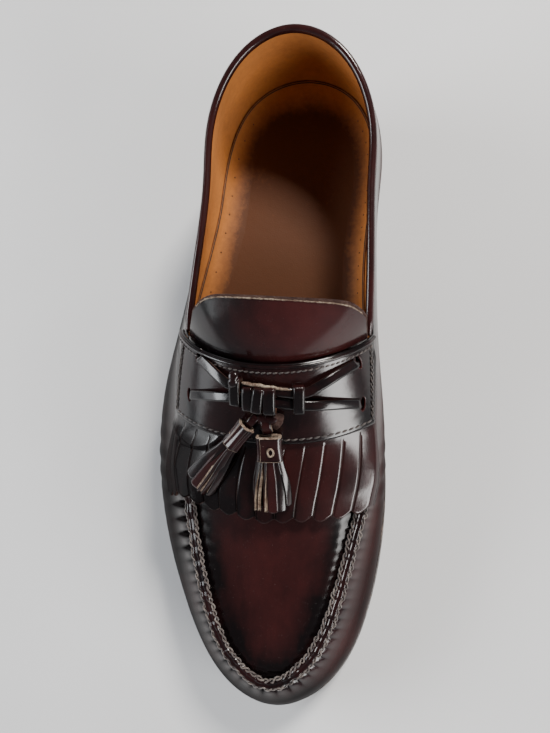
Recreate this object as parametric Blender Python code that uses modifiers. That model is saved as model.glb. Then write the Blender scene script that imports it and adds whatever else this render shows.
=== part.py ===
"""Tassel loafer, right shoe: toe along -Y, medial side along +X, standing on Z = 0.

The last is a table of stations round the shoe. Each row gives the feather line (foot), where
the upper meets the welt, and the edge line, which is the hand-sewn seam in front and the
topline behind. Every piece is worked out from that one skin.
"""

import math

import bmesh
import bpy
import numpy as np
from mathutils import Matrix, Vector

MM = 0.001

# Driving dimensions, in millimetres
GAP = 0.35
OUTSOLE_THICKNESS = 5.0
WELT_THICKNESS = 2.2
INSOLE_THICKNESS = 4.8
UPPER_WALL = 2.0
WELT_LEDGE_FOREPART = 3.7
WELT_LEDGE_HEEL = 2.0
WELT_INNER = 1.8
INSOLE_MARGIN = 2.8
TOE_SPRING = 8.0
HEEL_RISE = 20.0
TOP_LIFT = 6.0
HEEL_INSET = 0.8
FLAT_FRONT_Y = -95.0
FLAT_BACK_Y = -45.0
TOE_TIP_Y = -152.0
SEAT_FRONT_Y = 70.0
BREAST_Y = 76.0
BREAST_HOLLOW = 3.0
SADDLE_THICKNESS = 1.7
KILTIE_THICKNESS = 1.3
TONGUE_THICKNESS = 2.6
LACE_THICKNESS = 1.2
LACE_WIDTH = 4.0
SEAM_RADIUS = 1.5
BINDING_RADIUS = 1.6
SHIFT_X = -1.031
SHIFT_Y = 2.367

# Stations of the last, heel to toe: foot x, foot y, edge x, edge y, edge z, belly, lean
HEEL_ROW = ("heel back", 9.0, 145.0, 9.0, 142.0, 84.0, 9.0, 84.0)
LATERAL_ROWS = (
    ("heel curve", -15.4, 135.0, -14.2, 131.5, 81.5, 8.0, 84.0),
    ("heel side", -25.5, 108.0, -27.6, 106.0, 74.5, 8.0, 86.0),
    ("quarter", -27.0, 78.0, -28.8, 78.0, 70.0, 9.0, 86.0),
    ("waist", -32.5, 45.0, -30.6, 45.0, 67.5, 12.0, 84.0),
    ("throat corner", -41.0, 15.0, -33.6, 15.0, 62.5, 15.0, 74.0),
    ("saddle", -47.5, -10.0, -35.2, -8.0, 57.5, 16.0, 66.0),
    ("kiltie", -50.0, -33.0, -34.6, -31.0, 51.5, 14.0, 58.0),
    ("ball", -47.6, -60.0, -29.8, -58.0, 47.0, 12.5, 48.0),
    ("joint", -41.0, -84.0, -24.4, -82.0, 45.3, 11.0, 40.0),
    ("small toe", -30.8, -107.0, -17.8, -104.0, 43.4, 10.5, 33.0),
    ("toe curve", -19.8, -128.0, -9.0, -122.5, 41.4, 9.5, 28.0),
    ("toe corner", -7.4, -142.2, 1.2, -132.2, 40.2, 7.0, 26.0),
)
TOE_ROW = ("toe", 10.0, -148.4, 10.0, -135.2, 40.0, 5.0, 25.0)
MEDIAL_ROWS = (
    ("heel curve", 33.4, 135.0, 32.2, 131.5, 81.5, 8.0, 84.0),
    ("heel side", 43.5, 108.0, 45.4, 106.0, 74.5, 8.0, 86.0),
    ("quarter", 42.2, 78.0, 46.8, 78.0, 70.0, 8.0, 86.0),
    ("waist", 40.6, 45.0, 47.8, 45.0, 67.5, 8.0, 84.0),
    ("throat corner", 43.0, 15.0, 48.4, 15.0, 62.5, 8.5, 78.0),
    ("saddle", 47.6, -10.0, 49.2, -8.0, 57.0, 8.5, 74.0),
    ("kiltie", 51.4, -33.0, 49.6, -31.0, 51.0, 7.5, 72.0),
    ("ball", 52.8, -60.0, 46.2, -58.0, 47.0, 7.0, 64.0),
    ("joint", 51.2, -84.0, 41.2, -82.0, 45.3, 7.0, 54.0),
    ("big toe", 47.2, -106.0, 35.6, -104.0, 43.2, 7.0, 42.0),
    ("toe curve", 39.4, -127.5, 27.4, -122.5, 41.2, 6.0, 32.0),
    ("toe corner", 26.6, -142.6, 18.2, -132.0, 40.1, 5.2, 27.0),
)

# Instep and plug: y of a row's ends, bow towards the toe, crest height, shoulder reach
SPINE_ROWS = (
    ("seam apex", -135.2, 0.0, 40.0, 0.33),
    ("toe plug", -118.0, 0.5, 44.2, 0.33),
    ("small toe", -104.0, 1.0, 46.8, 0.33),
    ("joint", -82.0, 3.5, 50.8, 0.32),
    ("ball", -56.0, 7.5, 57.2, 0.30),
    ("saddle front", -20.0, 12.5, 68.8, 0.24),
    ("throat", 13.0, 18.5, 82.4, 0.20),
    ("topline", 45.0, 19.0, 96.0, 0.20),
)

# Shape of the wall's section
BELLY_RISE = 0.40
SHOULDER_REACH = 0.36

# Where the pieces of the instep start and end, as the y of a row's ends
THROAT_Y = 12.5
SADDLE_TOP_Y = 14.6
SADDLE_FRONT_Y = -20.5
KILTIE_TOP_Y = 3.0
SADDLE_STEP_Y = (13.0, 5.0)
SADDLE_END_ACROSS = 0.08
SADDLE_ACROSS = (0.035, 0.970)
KILTIE_BAND_Y = -24.5
KILTIE_TIP_Y = -55.0
KILTIE_POINT_Y = -58.5
KILTIE_STRIPS = 13
KILTIE_SPREAD_LATERAL = 0.20
KILTIE_SPREAD_MEDIAL = 0.05
KILTIE_LIFT = 2.6
KILTIE_EDGE_LIFT = 4.2
KILTIE_SLIT = 0.07
SEAM_BACK_Y = -50.0

# Tongue, in millimetres
TONGUE_BASE_ACROSS = (0.07, 0.96)
TONGUE_CENTRE_X = 13.0
TONGUE_HALF_WIDTH = 33.0
TONGUE_TOP_Y = 17.0
TONGUE_SKEW = 1.2
TONGUE_TOP_Z = 101.5
TONGUE_DROP = 9.0
TONGUE_CORNER = 0.24

# Lace: plan x and y of the slots, the keepers and the knot
SLOTS = (
    ("upper lateral", -19.4, -0.6),
    ("lower lateral", -24.8, -14.6),
    ("upper medial", 40.0, 0.9),
    ("lower medial", 43.2, -14.6),
)
KEEPERS = (("keeper_lateral", -3.4, -13.8), ("keeper_medial", 19.8, -15.4))
KEEPER_LENGTH = 3.8
KEEPER_WIDTH = 12.8
KEEPER_HEIGHT = 5.2
KEEPER_WALL = 0.9
KNOT_X = 5.0
KNOT_Y = -15.6
KNOT_SIZE = (10.0, 15.0, 4.6)
LACE_PITCH = 4.5
LACE_LIFT = 2.0
SLOT_LENGTH = 6.4
SLOT_WIDTH = 2.6

# Tassels: head x, y and tip x, y in plan, then the half width of head and of fringe
TASSELS = (
    ("tassel_lateral", 0.2, -26.2, -17.8, -51.5, 4.0, 7.4),
    ("tassel_medial", 9.4, -26.6, 10.8, -59.5, 5.0, 8.6),
)
TASSEL_STRIPS = 7
TASSEL_LIFT = 3.65
TASSEL_WALL = 1.0

# Leather colours, then roughness
FINISHES = {
    "burgundy": ((0.085, 0.018, 0.018, 1.0), 0.18),
    "lining": ((0.62, 0.26, 0.08, 1.0), 0.55),
    "sole_edge": ((0.012, 0.010, 0.010, 1.0), 0.35),
    "heel_rubber": ((0.018, 0.018, 0.018, 1.0), 0.7),
}

HALF_COLUMNS = 30
WALL_ROWS = 7
PLUG_ACROSS = 9


def clear_scene():
    """Remove whatever the scene holds."""
    for thing in list(bpy.data.objects):
        bpy.data.objects.remove(thing, do_unlink=True)


def spline_bends(knots, values, closed):
    """Second derivatives of the cubic spline through the rows, closed or with free ends."""
    count = len(knots) - 1 if closed else len(knots)
    spans = np.diff(knots)
    slopes = np.diff(values, axis=0) / spans[:, None]
    matrix = np.eye(count)
    target = np.zeros((count, values.shape[1]))
    rows = range(count) if closed else range(1, count - 1)
    for row in rows:
        before = spans[row - 1]
        after = spans[row]
        matrix[row, row] = 2.0 * (before + after)
        matrix[row, row - 1] = before
        matrix[row, (row + 1) % count] = after
        target[row] = 6.0 * (slopes[row] - slopes[row - 1])
    bends = np.linalg.solve(matrix, target)
    return np.vstack([bends, bends[:1]]) if closed else bends


def spline_at(knots, values, bends, places):
    """Values of the cubic spline at the given places."""
    cell = np.clip(np.searchsorted(knots, places, side="right") - 1, 0, len(knots) - 2)
    span = (knots[cell + 1] - knots[cell])[..., None]
    left = (knots[cell + 1] - places)[..., None] / span
    right = 1.0 - left
    straight = left * values[cell] + right * values[cell + 1]
    curved = (left ** 3 - left) * bends[cell] + (right ** 3 - right) * bends[cell + 1]
    return straight + curved * span ** 2 / 6.0


def chords(rows):
    """Distance along the feather line from the heel to each station."""
    feet = np.array([row[1:3] for row in rows])
    steps = np.linalg.norm(np.diff(feet, axis=0), axis=1)
    return np.concatenate([[0.0], np.cumsum(steps)])


def last_table():
    """Knots, values and bends of the closed spline: 0 heel, 1 toe, 2 heel again."""
    lateral = chords((HEEL_ROW,) + LATERAL_ROWS + (TOE_ROW,))
    medial = chords((HEEL_ROW,) + MEDIAL_ROWS + (TOE_ROW,))
    stations = 0.5 * (lateral / lateral[-1] + medial / medial[-1])
    knots = np.concatenate([stations, 2.0 - stations[-2::-1]])
    ring = (HEEL_ROW,) + LATERAL_ROWS + (TOE_ROW,) + MEDIAL_ROWS[::-1] + (HEEL_ROW,)
    values = np.array([row[1:] for row in ring])
    return knots, values, spline_bends(knots, values, closed=True)


LAST = last_table()
SPINE_KNOTS = np.array([row[1] for row in SPINE_ROWS])
SPINE_VALUES = np.array([row[2:] for row in SPINE_ROWS])
SPINE_BENDS = spline_bends(SPINE_KNOTS, SPINE_VALUES, closed=False)


def last_at(places):
    """Row of the last at each place round the shoe."""
    return spline_at(*LAST, np.mod(places, 2.0))


def smooth_step(values):
    """0 below 0, 1 above 1, with level ends."""
    ratio = np.clip(values, 0.0, 1.0)
    return ratio * ratio * (3.0 - 2.0 * ratio)


def sole_rise(y):
    """Height of the sole's underside: toe spring, flat tread, waist and heel seat."""
    spring = TOE_SPRING * (np.maximum(FLAT_FRONT_Y - y, 0.0) / (FLAT_FRONT_Y - TOE_TIP_Y)) ** 2
    waist = HEEL_RISE * smooth_step((y - FLAT_BACK_Y) / (SEAT_FRONT_Y - FLAT_BACK_Y))
    return spring + waist


def feather_height(y):
    """Height of the upper's lower edge, just clear of the welt."""
    return sole_rise(y) + OUTSOLE_THICKNESS + WELT_THICKNESS + 2.0 * GAP


def plan_outward(places):
    """Unit vector in plan, square to the feather line and away from the foot."""
    step = 0.002
    turn = last_at(places + step)[..., :2] - last_at(places - step)[..., :2]
    outward = np.stack([turn[..., 1], -turn[..., 0]], axis=-1)
    return outward / np.linalg.norm(outward, axis=-1, keepdims=True)


def outline(places, margin):
    """Feather line in plan, moved outward by the margin."""
    return last_at(places)[..., :2] + plan_outward(places) * np.asarray(margin)[..., None]


def welt_ledge(places):
    """How far the sole stands out from the feather line."""
    station = np.minimum(places, 2.0 - places)
    blend = smooth_step((station - 0.25) / 0.25)
    return WELT_LEDGE_HEEL + (WELT_LEDGE_FOREPART - WELT_LEDGE_HEEL) * blend


def bezier(first, second, third, fourth, ratio):
    """Cubic Bezier curve of four control points."""
    rest = 1.0 - ratio
    ends = first * rest ** 3 + fourth * ratio ** 3
    return ends + 3.0 * second * rest ** 2 * ratio + 3.0 * third * rest * ratio ** 2


def wall(places, heights):
    """Side of the upper, from the feather line at height 0 to the edge line at height 1."""
    row = last_at(places)
    outward = plan_outward(places)
    foot = np.concatenate([row[..., :2], feather_height(row[..., 1])[..., None]], axis=-1)
    edge = row[..., 2:5]
    belly = row[..., 5:6]
    lean = np.radians(row[..., 6:7])
    rise = edge[..., 2:3] - foot[..., 2:3]
    reach = SHOULDER_REACH * np.linalg.norm(edge - foot, axis=-1, keepdims=True)
    low = foot + np.concatenate([outward * belly, BELLY_RISE * rise], axis=-1)
    high = edge + np.concatenate([outward * reach * np.cos(lean), -reach * np.sin(lean)], axis=-1)
    return bezier(foot, low, high, edge, np.asarray(heights)[..., None])


def arch(stations, across):
    """Instep and plug: rows from the lateral edge line, across 0, to the medial one, across 1."""
    lateral = last_at(stations)[..., 2:5]
    medial = last_at(2.0 - stations)[..., 2:5]
    middle = 0.5 * (lateral + medial)
    spine = spline_at(SPINE_KNOTS, SPINE_VALUES, SPINE_BENDS, middle[..., 1])
    bow = spine[..., 0]
    lift = (spine[..., 1] - middle[..., 2]) * 4.0 / 3.0
    reach = (medial - lateral) * spine[..., 2:3]
    rise = np.stack([np.zeros_like(lift), np.zeros_like(lift), lift], axis=-1)
    ratio = np.asarray(across)[..., None]
    points = bezier(lateral, lateral + reach + rise, medial - reach + rise, medial, ratio)
    points[..., 1] -= bow * 4.0 * (ratio * (1.0 - ratio))[..., 0]
    return points


def skin(stations, across):
    """Arch between across 0 and 1, and on down the walls outside that range."""
    stations = np.asarray(stations, dtype=float)
    across = np.asarray(across, dtype=float)
    points = arch(stations, np.clip(across, 0.0, 1.0))
    lateral = wall(stations, np.clip(1.0 + across, 0.0, 1.0))
    medial = wall(2.0 - stations, np.clip(2.0 - across, 0.0, 1.0))
    points = np.where((across < 0.0)[..., None], lateral, points)
    return np.where((across > 1.0)[..., None], medial, points)


def skin_normals(stations, across):
    """Unit normals of the skin, pointing away from the foot."""
    step = 0.004
    down = skin(stations + step, across) - skin(stations - step, across)
    side = skin(stations, across + step) - skin(stations, across - step)
    normal = np.cross(down, side)
    return normal / np.linalg.norm(normal, axis=-1, keepdims=True)


def lifted(stations, across, height):
    """Points at a height above the skin."""
    height = np.asarray(height, dtype=float)[..., None]
    return skin(stations, across) + skin_normals(stations, across) * height


def station_at(y):
    """Station whose edge points have this mean y."""
    stations = np.linspace(0.2, 1.0, 400)
    middle = 0.5 * (last_at(stations)[:, 3] + last_at(2.0 - stations)[:, 3])
    return np.interp(-np.asarray(y, dtype=float), -middle, stations)


def place_on_instep(x, y):
    """Station and across of the point of the arch that lies over x and y."""
    stations = np.linspace(station_at(SADDLE_TOP_Y), station_at(-80.0), 90)
    crossings = np.linspace(0.0, 1.0, 90)
    station = station_at(y)
    across = 0.5
    for _ in range(8):
        depth = arch(stations, np.full(90, across))[:, 1]
        station = np.interp(-y, -depth, stations)
        breadth = arch(np.full(90, station), crossings)[:, 0]
        across = np.interp(x, breadth, crossings)
    return float(station), float(across)


def column_stations():
    """Stations of the upper's columns, closer together at heel and toe, one at the throat."""
    ratio = np.linspace(0.0, 1.0, HALF_COLUMNS + 1)
    stations = ratio - 0.6 * np.sin(2.0 * math.pi * ratio) / (2.0 * math.pi)
    throat = station_at(THROAT_Y)
    stations[np.argmin(np.abs(stations - throat))] = throat
    return stations


def add_grid(bm, points, closed=False, keep=None):
    """Add a grid of points, with a face in each cell that is kept; rows close on request."""
    rows, columns = points.shape[:2]
    shift = np.array([SHIFT_X, SHIFT_Y, 0.0])
    verts = [[bm.verts.new(Vector((point + shift) * MM)) for point in line] for line in points]
    last_row = rows if closed else rows - 1
    for row in range(last_row):
        after = (row + 1) % rows
        for column in range(columns - 1):
            if keep is None or keep(row, column):
                corners = (verts[row][column], verts[after][column],
                           verts[after][column + 1], verts[row][column + 1])
                bm.faces.new(corners)
    return verts


def finish_mesh(bm, name, merge=0.02):
    """Merge doubled points and return the mesh."""
    bmesh.ops.remove_doubles(bm, verts=bm.verts, dist=merge * MM)
    bmesh.ops.dissolve_degenerate(bm, edges=bm.edges, dist=0.005 * MM)
    mesh = bpy.data.meshes.new(name)
    bm.to_mesh(mesh)
    bm.free()
    return mesh


def make_material(name):
    """Principled material of one of the finishes."""
    colour, roughness = FINISHES[name]
    material = bpy.data.materials.get(name) or bpy.data.materials.new(name)
    material.use_nodes = True
    shader = material.node_tree.nodes["Principled BSDF"]
    shader.inputs["Base Color"].default_value = colour
    shader.inputs["Roughness"].default_value = roughness
    return material


def add_piece(mesh, finish, collection, thickness=0.0, outward=False):
    """Object for a mesh, given a wall of the thickness where one is asked for."""
    piece = bpy.data.objects.new(mesh.name, mesh)
    collection.objects.link(piece)
    mesh.materials.append(make_material(finish))
    mesh.shade_smooth()
    if thickness:
        shell = piece.modifiers.new("wall", "SOLIDIFY")
        shell.thickness = thickness * MM
        shell.offset = 1.0 if outward else -1.0
        shell.use_even_offset = True
        shell.use_rim = True
    return piece


def build_upper(collection):
    """Hollow upper: walls all round and the plug, open at the collar and underneath."""
    halves = column_stations()
    ring = np.concatenate([halves, 2.0 - halves[-2:0:-1]])
    heights = np.linspace(0.0, 1.0, WALL_ROWS + 1)
    places, levels = np.meshgrid(ring, heights, indexing="ij")
    bm = bmesh.new()
    add_grid(bm, wall(places, levels), closed=True)
    rows = halves[halves >= station_at(THROAT_Y)]
    stations, across = np.meshgrid(rows, np.linspace(0.0, 1.0, PLUG_ACROSS + 1), indexing="ij")
    add_grid(bm, arch(stations, across))
    return add_piece(finish_mesh(bm, "upper"), "burgundy", collection, UPPER_WALL)


def plate(name, margin, top, thickness, finish, collection, across_count=6):
    """Flat layer of the sole that follows its rise, from the outline at the margin."""
    halves = column_stations()
    left = outline(halves, margin(halves))
    right = outline(2.0 - halves, margin(2.0 - halves))
    ratio = np.linspace(0.0, 1.0, across_count + 1)[None, :, None]
    plan = left[:, None, :] * (1.0 - ratio) + right[:, None, :] * ratio
    height = sole_rise(plan[..., 1]) + top
    bm = bmesh.new()
    add_grid(bm, np.concatenate([plan, height[..., None]], axis=-1))
    return add_piece(finish_mesh(bm, name), finish, collection, thickness)


def build_welt(collection):
    """Thin strip between outsole and upper, standing out all round."""
    halves = column_stations()
    ring = np.concatenate([halves, 2.0 - halves[-2:0:-1]])
    outer = outline(ring, welt_ledge(ring))
    inner = outline(ring, np.full(len(ring), -WELT_INNER))
    top = OUTSOLE_THICKNESS + GAP + WELT_THICKNESS
    lines = []
    for ratio in (0.0, 1.0):
        plan = outer * (1.0 - ratio) + inner * ratio
        lines.append(np.concatenate([plan, (sole_rise(plan[:, 1]) + top)[:, None]], axis=-1))
    bm = bmesh.new()
    add_grid(bm, np.stack(lines, axis=1), closed=True)
    return add_piece(finish_mesh(bm, "welt"), "sole_edge", collection, WELT_THICKNESS)


def build_heel_layer(name, low, high, inset, finish, collection):
    """Prism of the heel's outline behind the breast line."""
    halves = np.linspace(0.0, 0.5, 26)
    lateral = outline(halves, welt_ledge(halves) - inset)
    medial = outline(2.0 - halves, welt_ledge(2.0 - halves) - inset)
    lateral = lateral[lateral[:, 1] > BREAST_Y]
    medial = medial[medial[:, 1] > BREAST_Y]
    width = medial[-1, 0] - lateral[-1, 0]
    ratio = np.linspace(0.0, 1.0, 7)
    breast_x = lateral[-1, 0] + width * ratio
    breast_y = BREAST_Y + BREAST_HOLLOW * 4.0 * ratio * (1.0 - ratio)
    front = np.stack([breast_x, breast_y], axis=1)
    loop = np.vstack([lateral, front, medial[:0:-1]])
    bm = bmesh.new()
    shift = np.array([SHIFT_X, SHIFT_Y])
    verts = [bm.verts.new(Vector((*(point + shift), low)) * MM) for point in loop]
    base = bm.faces.new(verts)
    grown = bmesh.ops.extrude_face_region(bm, geom=[base])
    top = [item for item in grown["geom"] if isinstance(item, bmesh.types.BMVert)]
    bmesh.ops.translate(bm, verts=top, vec=Vector((0.0, 0.0, (high - low) * MM)))
    bmesh.ops.recalc_face_normals(bm, faces=bm.faces)
    return add_piece(finish_mesh(bm, name), finish, collection)


def saddle_base(stations, across):
    """Height of the saddle's underside: it lies over the kiltie, and its rear ends lie lower."""
    rear, front = station_at(SADDLE_STEP_Y[0]), station_at(SADDLE_STEP_Y[1])
    forward = smooth_step((stations - rear) / (front - rear))
    inner = smooth_step(np.minimum(across, 1.0 - across) / SADDLE_END_ACROSS)
    return GAP + (KILTIE_THICKNESS + GAP) * np.maximum(forward, inner)


def saddle_top(station, across):
    """Height of the saddle's upper face above the skin."""
    return saddle_base(station, across) + SADDLE_THICKNESS


def cut_slot(saddle, name, x, y, collection):
    """Oval slot through the saddle, square to the lace strip that enters it."""
    toward = (KNOT_X - x, KNOT_Y - y)
    centre, along, side, up = local_axes(x, y, 0.0, toward)
    bm = bmesh.new()
    bmesh.ops.create_cone(bm, cap_ends=True, segments=12, radius1=0.5, radius2=0.5, depth=1.0)
    turn = Matrix((along, side, up)).transposed()
    size = (SLOT_WIDTH, SLOT_LENGTH, 4.0 * SADDLE_THICKNESS)
    middle = Vector(centre + up * 1.5 * SADDLE_THICKNESS + np.array([SHIFT_X, SHIFT_Y, 0.0]))
    for vert in bm.verts:
        vert.co = (turn @ Vector([a * b for a, b in zip(vert.co, size)]) + middle) * MM
    cutter = add_piece(finish_mesh(bm, "slot " + name), "burgundy", cutters_of(collection))
    cutter.hide_render = True
    cutter.display_type = "WIRE"
    cut = saddle.modifiers.new("slot", "BOOLEAN")
    cut.operation = "DIFFERENCE"
    cut.object = cutter


def cutters_of(collection):
    """Collection that holds the cutters."""
    name = collection.name + "_cutters"
    cutters = bpy.data.collections.get(name)
    if cutters is None:
        cutters = bpy.data.collections.new(name)
        bpy.context.scene.collection.children.link(cutters)
    return cutters


def build_saddle(collection):
    """Strap band over the instep, with four lace slots."""
    rows = np.linspace(station_at(SADDLE_TOP_Y), station_at(SADDLE_FRONT_Y), 8)
    stations, across = np.meshgrid(rows, np.linspace(*SADDLE_ACROSS, 19), indexing="ij")
    bm = bmesh.new()
    add_grid(bm, lifted(stations, across, saddle_base(stations, across)))
    saddle = add_piece(finish_mesh(bm, "saddle"), "burgundy", collection, SADDLE_THICKNESS, True)
    for name, x, y in SLOTS:
        cut_slot(saddle, name, x, y, collection)
    return saddle


def kiltie_height(stations, across):
    """Height of the kiltie's underside: flat under the saddle, then rising over the seam."""
    start = station_at(SADDLE_FRONT_Y)
    end = station_at(SEAM_BACK_Y + 1.0)
    edge = np.clip(np.abs(2.0 * across - 1.0), 0.0, 1.0) ** 4
    lift = KILTIE_LIFT + (KILTIE_EDGE_LIFT - KILTIE_LIFT) * edge
    return GAP + lift * smooth_step((stations - start) / (end - start))


def build_kiltie(collection):
    """Fringed leather: a band under the saddle and strips that end in points."""
    band = np.linspace(station_at(KILTIE_TOP_Y), station_at(KILTIE_BAND_Y), 5)
    strips = np.linspace(band[-1], station_at(KILTIE_TIP_Y), 6)[1:]
    rows = np.concatenate([band, strips])
    point = station_at(KILTIE_POINT_Y)
    half = 0.5 - KILTIE_SLIT
    offsets = np.array([-half, 0.0, half])
    columns = (np.arange(KILTIE_STRIPS)[:, None] + 0.5 + offsets[None, :]).ravel()
    columns = columns / KILTIE_STRIPS
    stations, ratio = np.meshgrid(rows, columns, indexing="ij")
    stations = stations.copy()
    stations[-1, 1::3] = point
    fan = smooth_step((stations - band[0]) / (rows[-1] - band[0]))
    low = -KILTIE_SPREAD_LATERAL * fan
    high = 1.0 + KILTIE_SPREAD_MEDIAL * fan
    across = low + (high - low) * ratio
    bm = bmesh.new()

    def keep(row, column):
        return row < len(band) - 1 or column % 3 != 2

    add_grid(bm, lifted(stations, across, kiltie_height(stations, across)), keep=keep)
    return add_piece(finish_mesh(bm, "kiltie"), "burgundy", collection, KILTIE_THICKNESS, True)


def build_tongue(collection):
    """Tongue: from the throat row up to a rounded top edge."""
    across = np.linspace(*TONGUE_BASE_ACROSS, 13)
    ratio = np.linspace(-1.0, 1.0, 13)
    station = station_at(THROAT_Y + GAP)
    base = arch(np.full(13, station), across)
    top = np.stack([
        TONGUE_CENTRE_X + TONGUE_HALF_WIDTH * ratio,
        TONGUE_TOP_Y + 2.0 * ratio ** 2 - TONGUE_SKEW * ratio,
        TONGUE_TOP_Z - TONGUE_DROP * ratio ** 2,
    ], axis=1)
    reach = 1.0 - TONGUE_CORNER * np.abs(ratio) ** 5
    rises = np.linspace(0.0, 1.0, 7)[:, None] * reach[None, :]
    belly = 1.6 * np.sin(math.pi * rises)[..., None] * np.array([0.0, -0.6, 0.8])
    points = base[None] * (1.0 - rises[..., None]) + top[None] * rises[..., None] + belly
    bm = bmesh.new()
    add_grid(bm, points[::-1])
    return add_piece(finish_mesh(bm, "tongue"), "burgundy", collection, TONGUE_THICKNESS)


def build_tube(name, points, radius, finish, collection):
    """Round bead along a line, as a curve with filled caps."""
    curve = bpy.data.curves.new(name, "CURVE")
    curve.dimensions = "3D"
    curve.bevel_depth = radius * MM
    curve.bevel_resolution = 2
    curve.use_fill_caps = True
    spline = curve.splines.new("POLY")
    spline.points.add(len(points) - 1)
    shift = np.array([SHIFT_X, SHIFT_Y, 0.0])
    for slot, point in zip(spline.points, points):
        slot.co = (*((point + shift) * MM), 1.0)
    curve.materials.append(make_material(finish))
    piece = bpy.data.objects.new(name, curve)
    collection.objects.link(piece)
    return piece


def build_moc_ridge(collection):
    """Raised hand-sewn seam round the plug."""
    back = station_at(SEAM_BACK_Y)
    ring = np.linspace(back, 2.0 - back, 46)
    edge = last_at(ring)[:, 2:5]
    outward = plan_outward(ring)
    up = np.concatenate([outward * 0.35, np.ones((len(ring), 1))], axis=1)
    up /= np.linalg.norm(up, axis=1, keepdims=True)
    return build_tube("moc_ridge", edge + up * (SEAM_RADIUS + GAP + 0.15), SEAM_RADIUS,
                      "burgundy", collection)


def build_binding(collection):
    """Rolled edge round the topline, from one saddle corner to the other."""
    front = station_at(SADDLE_TOP_Y + 4.5)
    ring = np.linspace(-front, front, 44)
    edge = last_at(ring)[:, 2:5]
    inward = -plan_outward(ring) * UPPER_WALL * 0.5
    centre = edge + np.concatenate([inward, np.zeros((len(ring), 1))], axis=1)
    centre[:, 2] += BINDING_RADIUS + GAP + 0.1
    return build_tube("collar_binding", centre, BINDING_RADIUS, "burgundy", collection)


def above_saddle(x, y, height):
    """Point above the saddle's upper face at x and y, with the skin's normal there."""
    station, across = (np.array(value) for value in place_on_instep(x, y))
    point = lifted(station, across, saddle_top(station, across) + height)
    return point, skin_normals(station, across)


def lace_route(side_from, side_to, offset):
    """Plan points of one lace strip, slot to slot through both keepers."""
    first = next(row for row in SLOTS if row[0] == side_from)
    last = next(row for row in SLOTS if row[0] == side_to)
    keeper_a, keeper_b = KEEPERS
    clear = 7.0
    rows = [first[1:], (keeper_a[1] - clear, keeper_a[2] + offset),
            (keeper_a[1], keeper_a[2] + offset), (KNOT_X, 0.5 * (keeper_a[2] + keeper_b[2]) + offset),
            (keeper_b[1], keeper_b[2] + offset), (keeper_b[1] + clear, keeper_b[2] + offset),
            last[1:]]
    return np.array(rows)


def build_lace(collection):
    """Two flat strips, slot to slot, joined under the knot."""
    lines = []
    for names, offset in ((("upper lateral", "upper medial"), 0.5 * LACE_PITCH),
                          (("lower lateral", "lower medial"), -0.5 * LACE_PITCH)):
        plan = lace_route(*names, offset)
        knots = np.linspace(0.0, 1.0, len(plan))
        bends = spline_bends(knots, plan, closed=False)
        places = np.linspace(0.0, 1.0, 25)
        route = spline_at(knots, plan, bends, places)
        turn = np.gradient(route, axis=0)
        turn /= np.linalg.norm(turn, axis=1, keepdims=True)
        side = np.stack([-turn[:, 1], turn[:, 0]], axis=1)
        lift = LACE_LIFT * smooth_step(np.minimum(places, 1.0 - places) / 0.26)
        height = GAP + lift
        for sign in (0.5, -0.5):
            edge = route + side * LACE_WIDTH * sign
            lines.append(np.array([above_saddle(*spot, h)[0] for spot, h in zip(edge, height)]))
    points = np.stack(lines, axis=1)
    middle = len(points) // 2

    def keep(row, column):
        return column != 1 or row in (middle - 1, middle)

    bm = bmesh.new()
    add_grid(bm, points, keep=keep)
    bmesh.ops.reverse_faces(bm, faces=bm.faces)
    return add_piece(finish_mesh(bm, "lace"), "burgundy", collection, LACE_THICKNESS, True)


def local_axes(x, y, height, toward):
    """Point above the instep with its cross, along and up axes."""
    centre, up = above_saddle(x, y, height)
    along = np.array([toward[0], toward[1], 0.0])
    along -= up * np.dot(along, up)
    along /= np.linalg.norm(along)
    return centre, along, np.cross(up, along), up


def build_keeper(name, x, y, collection):
    """Flat loop round the two lace strips."""
    centre, along, side, up = local_axes(x, y, GAP, (1.0, 0.0))
    angle = np.linspace(0.0, 2.0 * math.pi, 17)[:-1]
    power = 0.45
    wide = 0.5 * KEEPER_WIDTH * np.sign(np.cos(angle)) * np.abs(np.cos(angle)) ** power
    tall = 0.5 * KEEPER_HEIGHT * (1.0 + np.sign(np.sin(angle)) * np.abs(np.sin(angle)) ** power)
    loop = centre + wide[:, None] * side + tall[:, None] * up
    ends = [loop - along * 0.5 * KEEPER_LENGTH, loop + along * 0.5 * KEEPER_LENGTH]
    bm = bmesh.new()
    add_grid(bm, np.stack(ends, axis=1), closed=True)
    return add_piece(finish_mesh(bm, name), "burgundy", collection, KEEPER_WALL)


def build_knot(collection):
    """Wrapped knot over the lace strips."""
    height = GAP + LACE_LIFT + LACE_THICKNESS + 0.75
    centre, along, side, up = local_axes(KNOT_X, KNOT_Y - 2.0, height, (1.0, 0.0))
    bm = bmesh.new()
    bmesh.ops.create_cube(bm, size=1.0)
    turn = Matrix((along, side, up)).transposed()
    size = Vector(KNOT_SIZE)
    middle = Vector(centre + up * 0.5 * KNOT_SIZE[2] + np.array([SHIFT_X, SHIFT_Y, 0.0]))
    for vert in bm.verts:
        vert.co = (turn @ Vector([a * b for a, b in zip(vert.co, size)]) + middle) * MM
    knot = add_piece(finish_mesh(bm, "knot"), "burgundy", collection)
    edge = knot.modifiers.new("rounding", "BEVEL")
    edge.width = 1.4 * MM
    edge.segments = 2
    return knot


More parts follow.
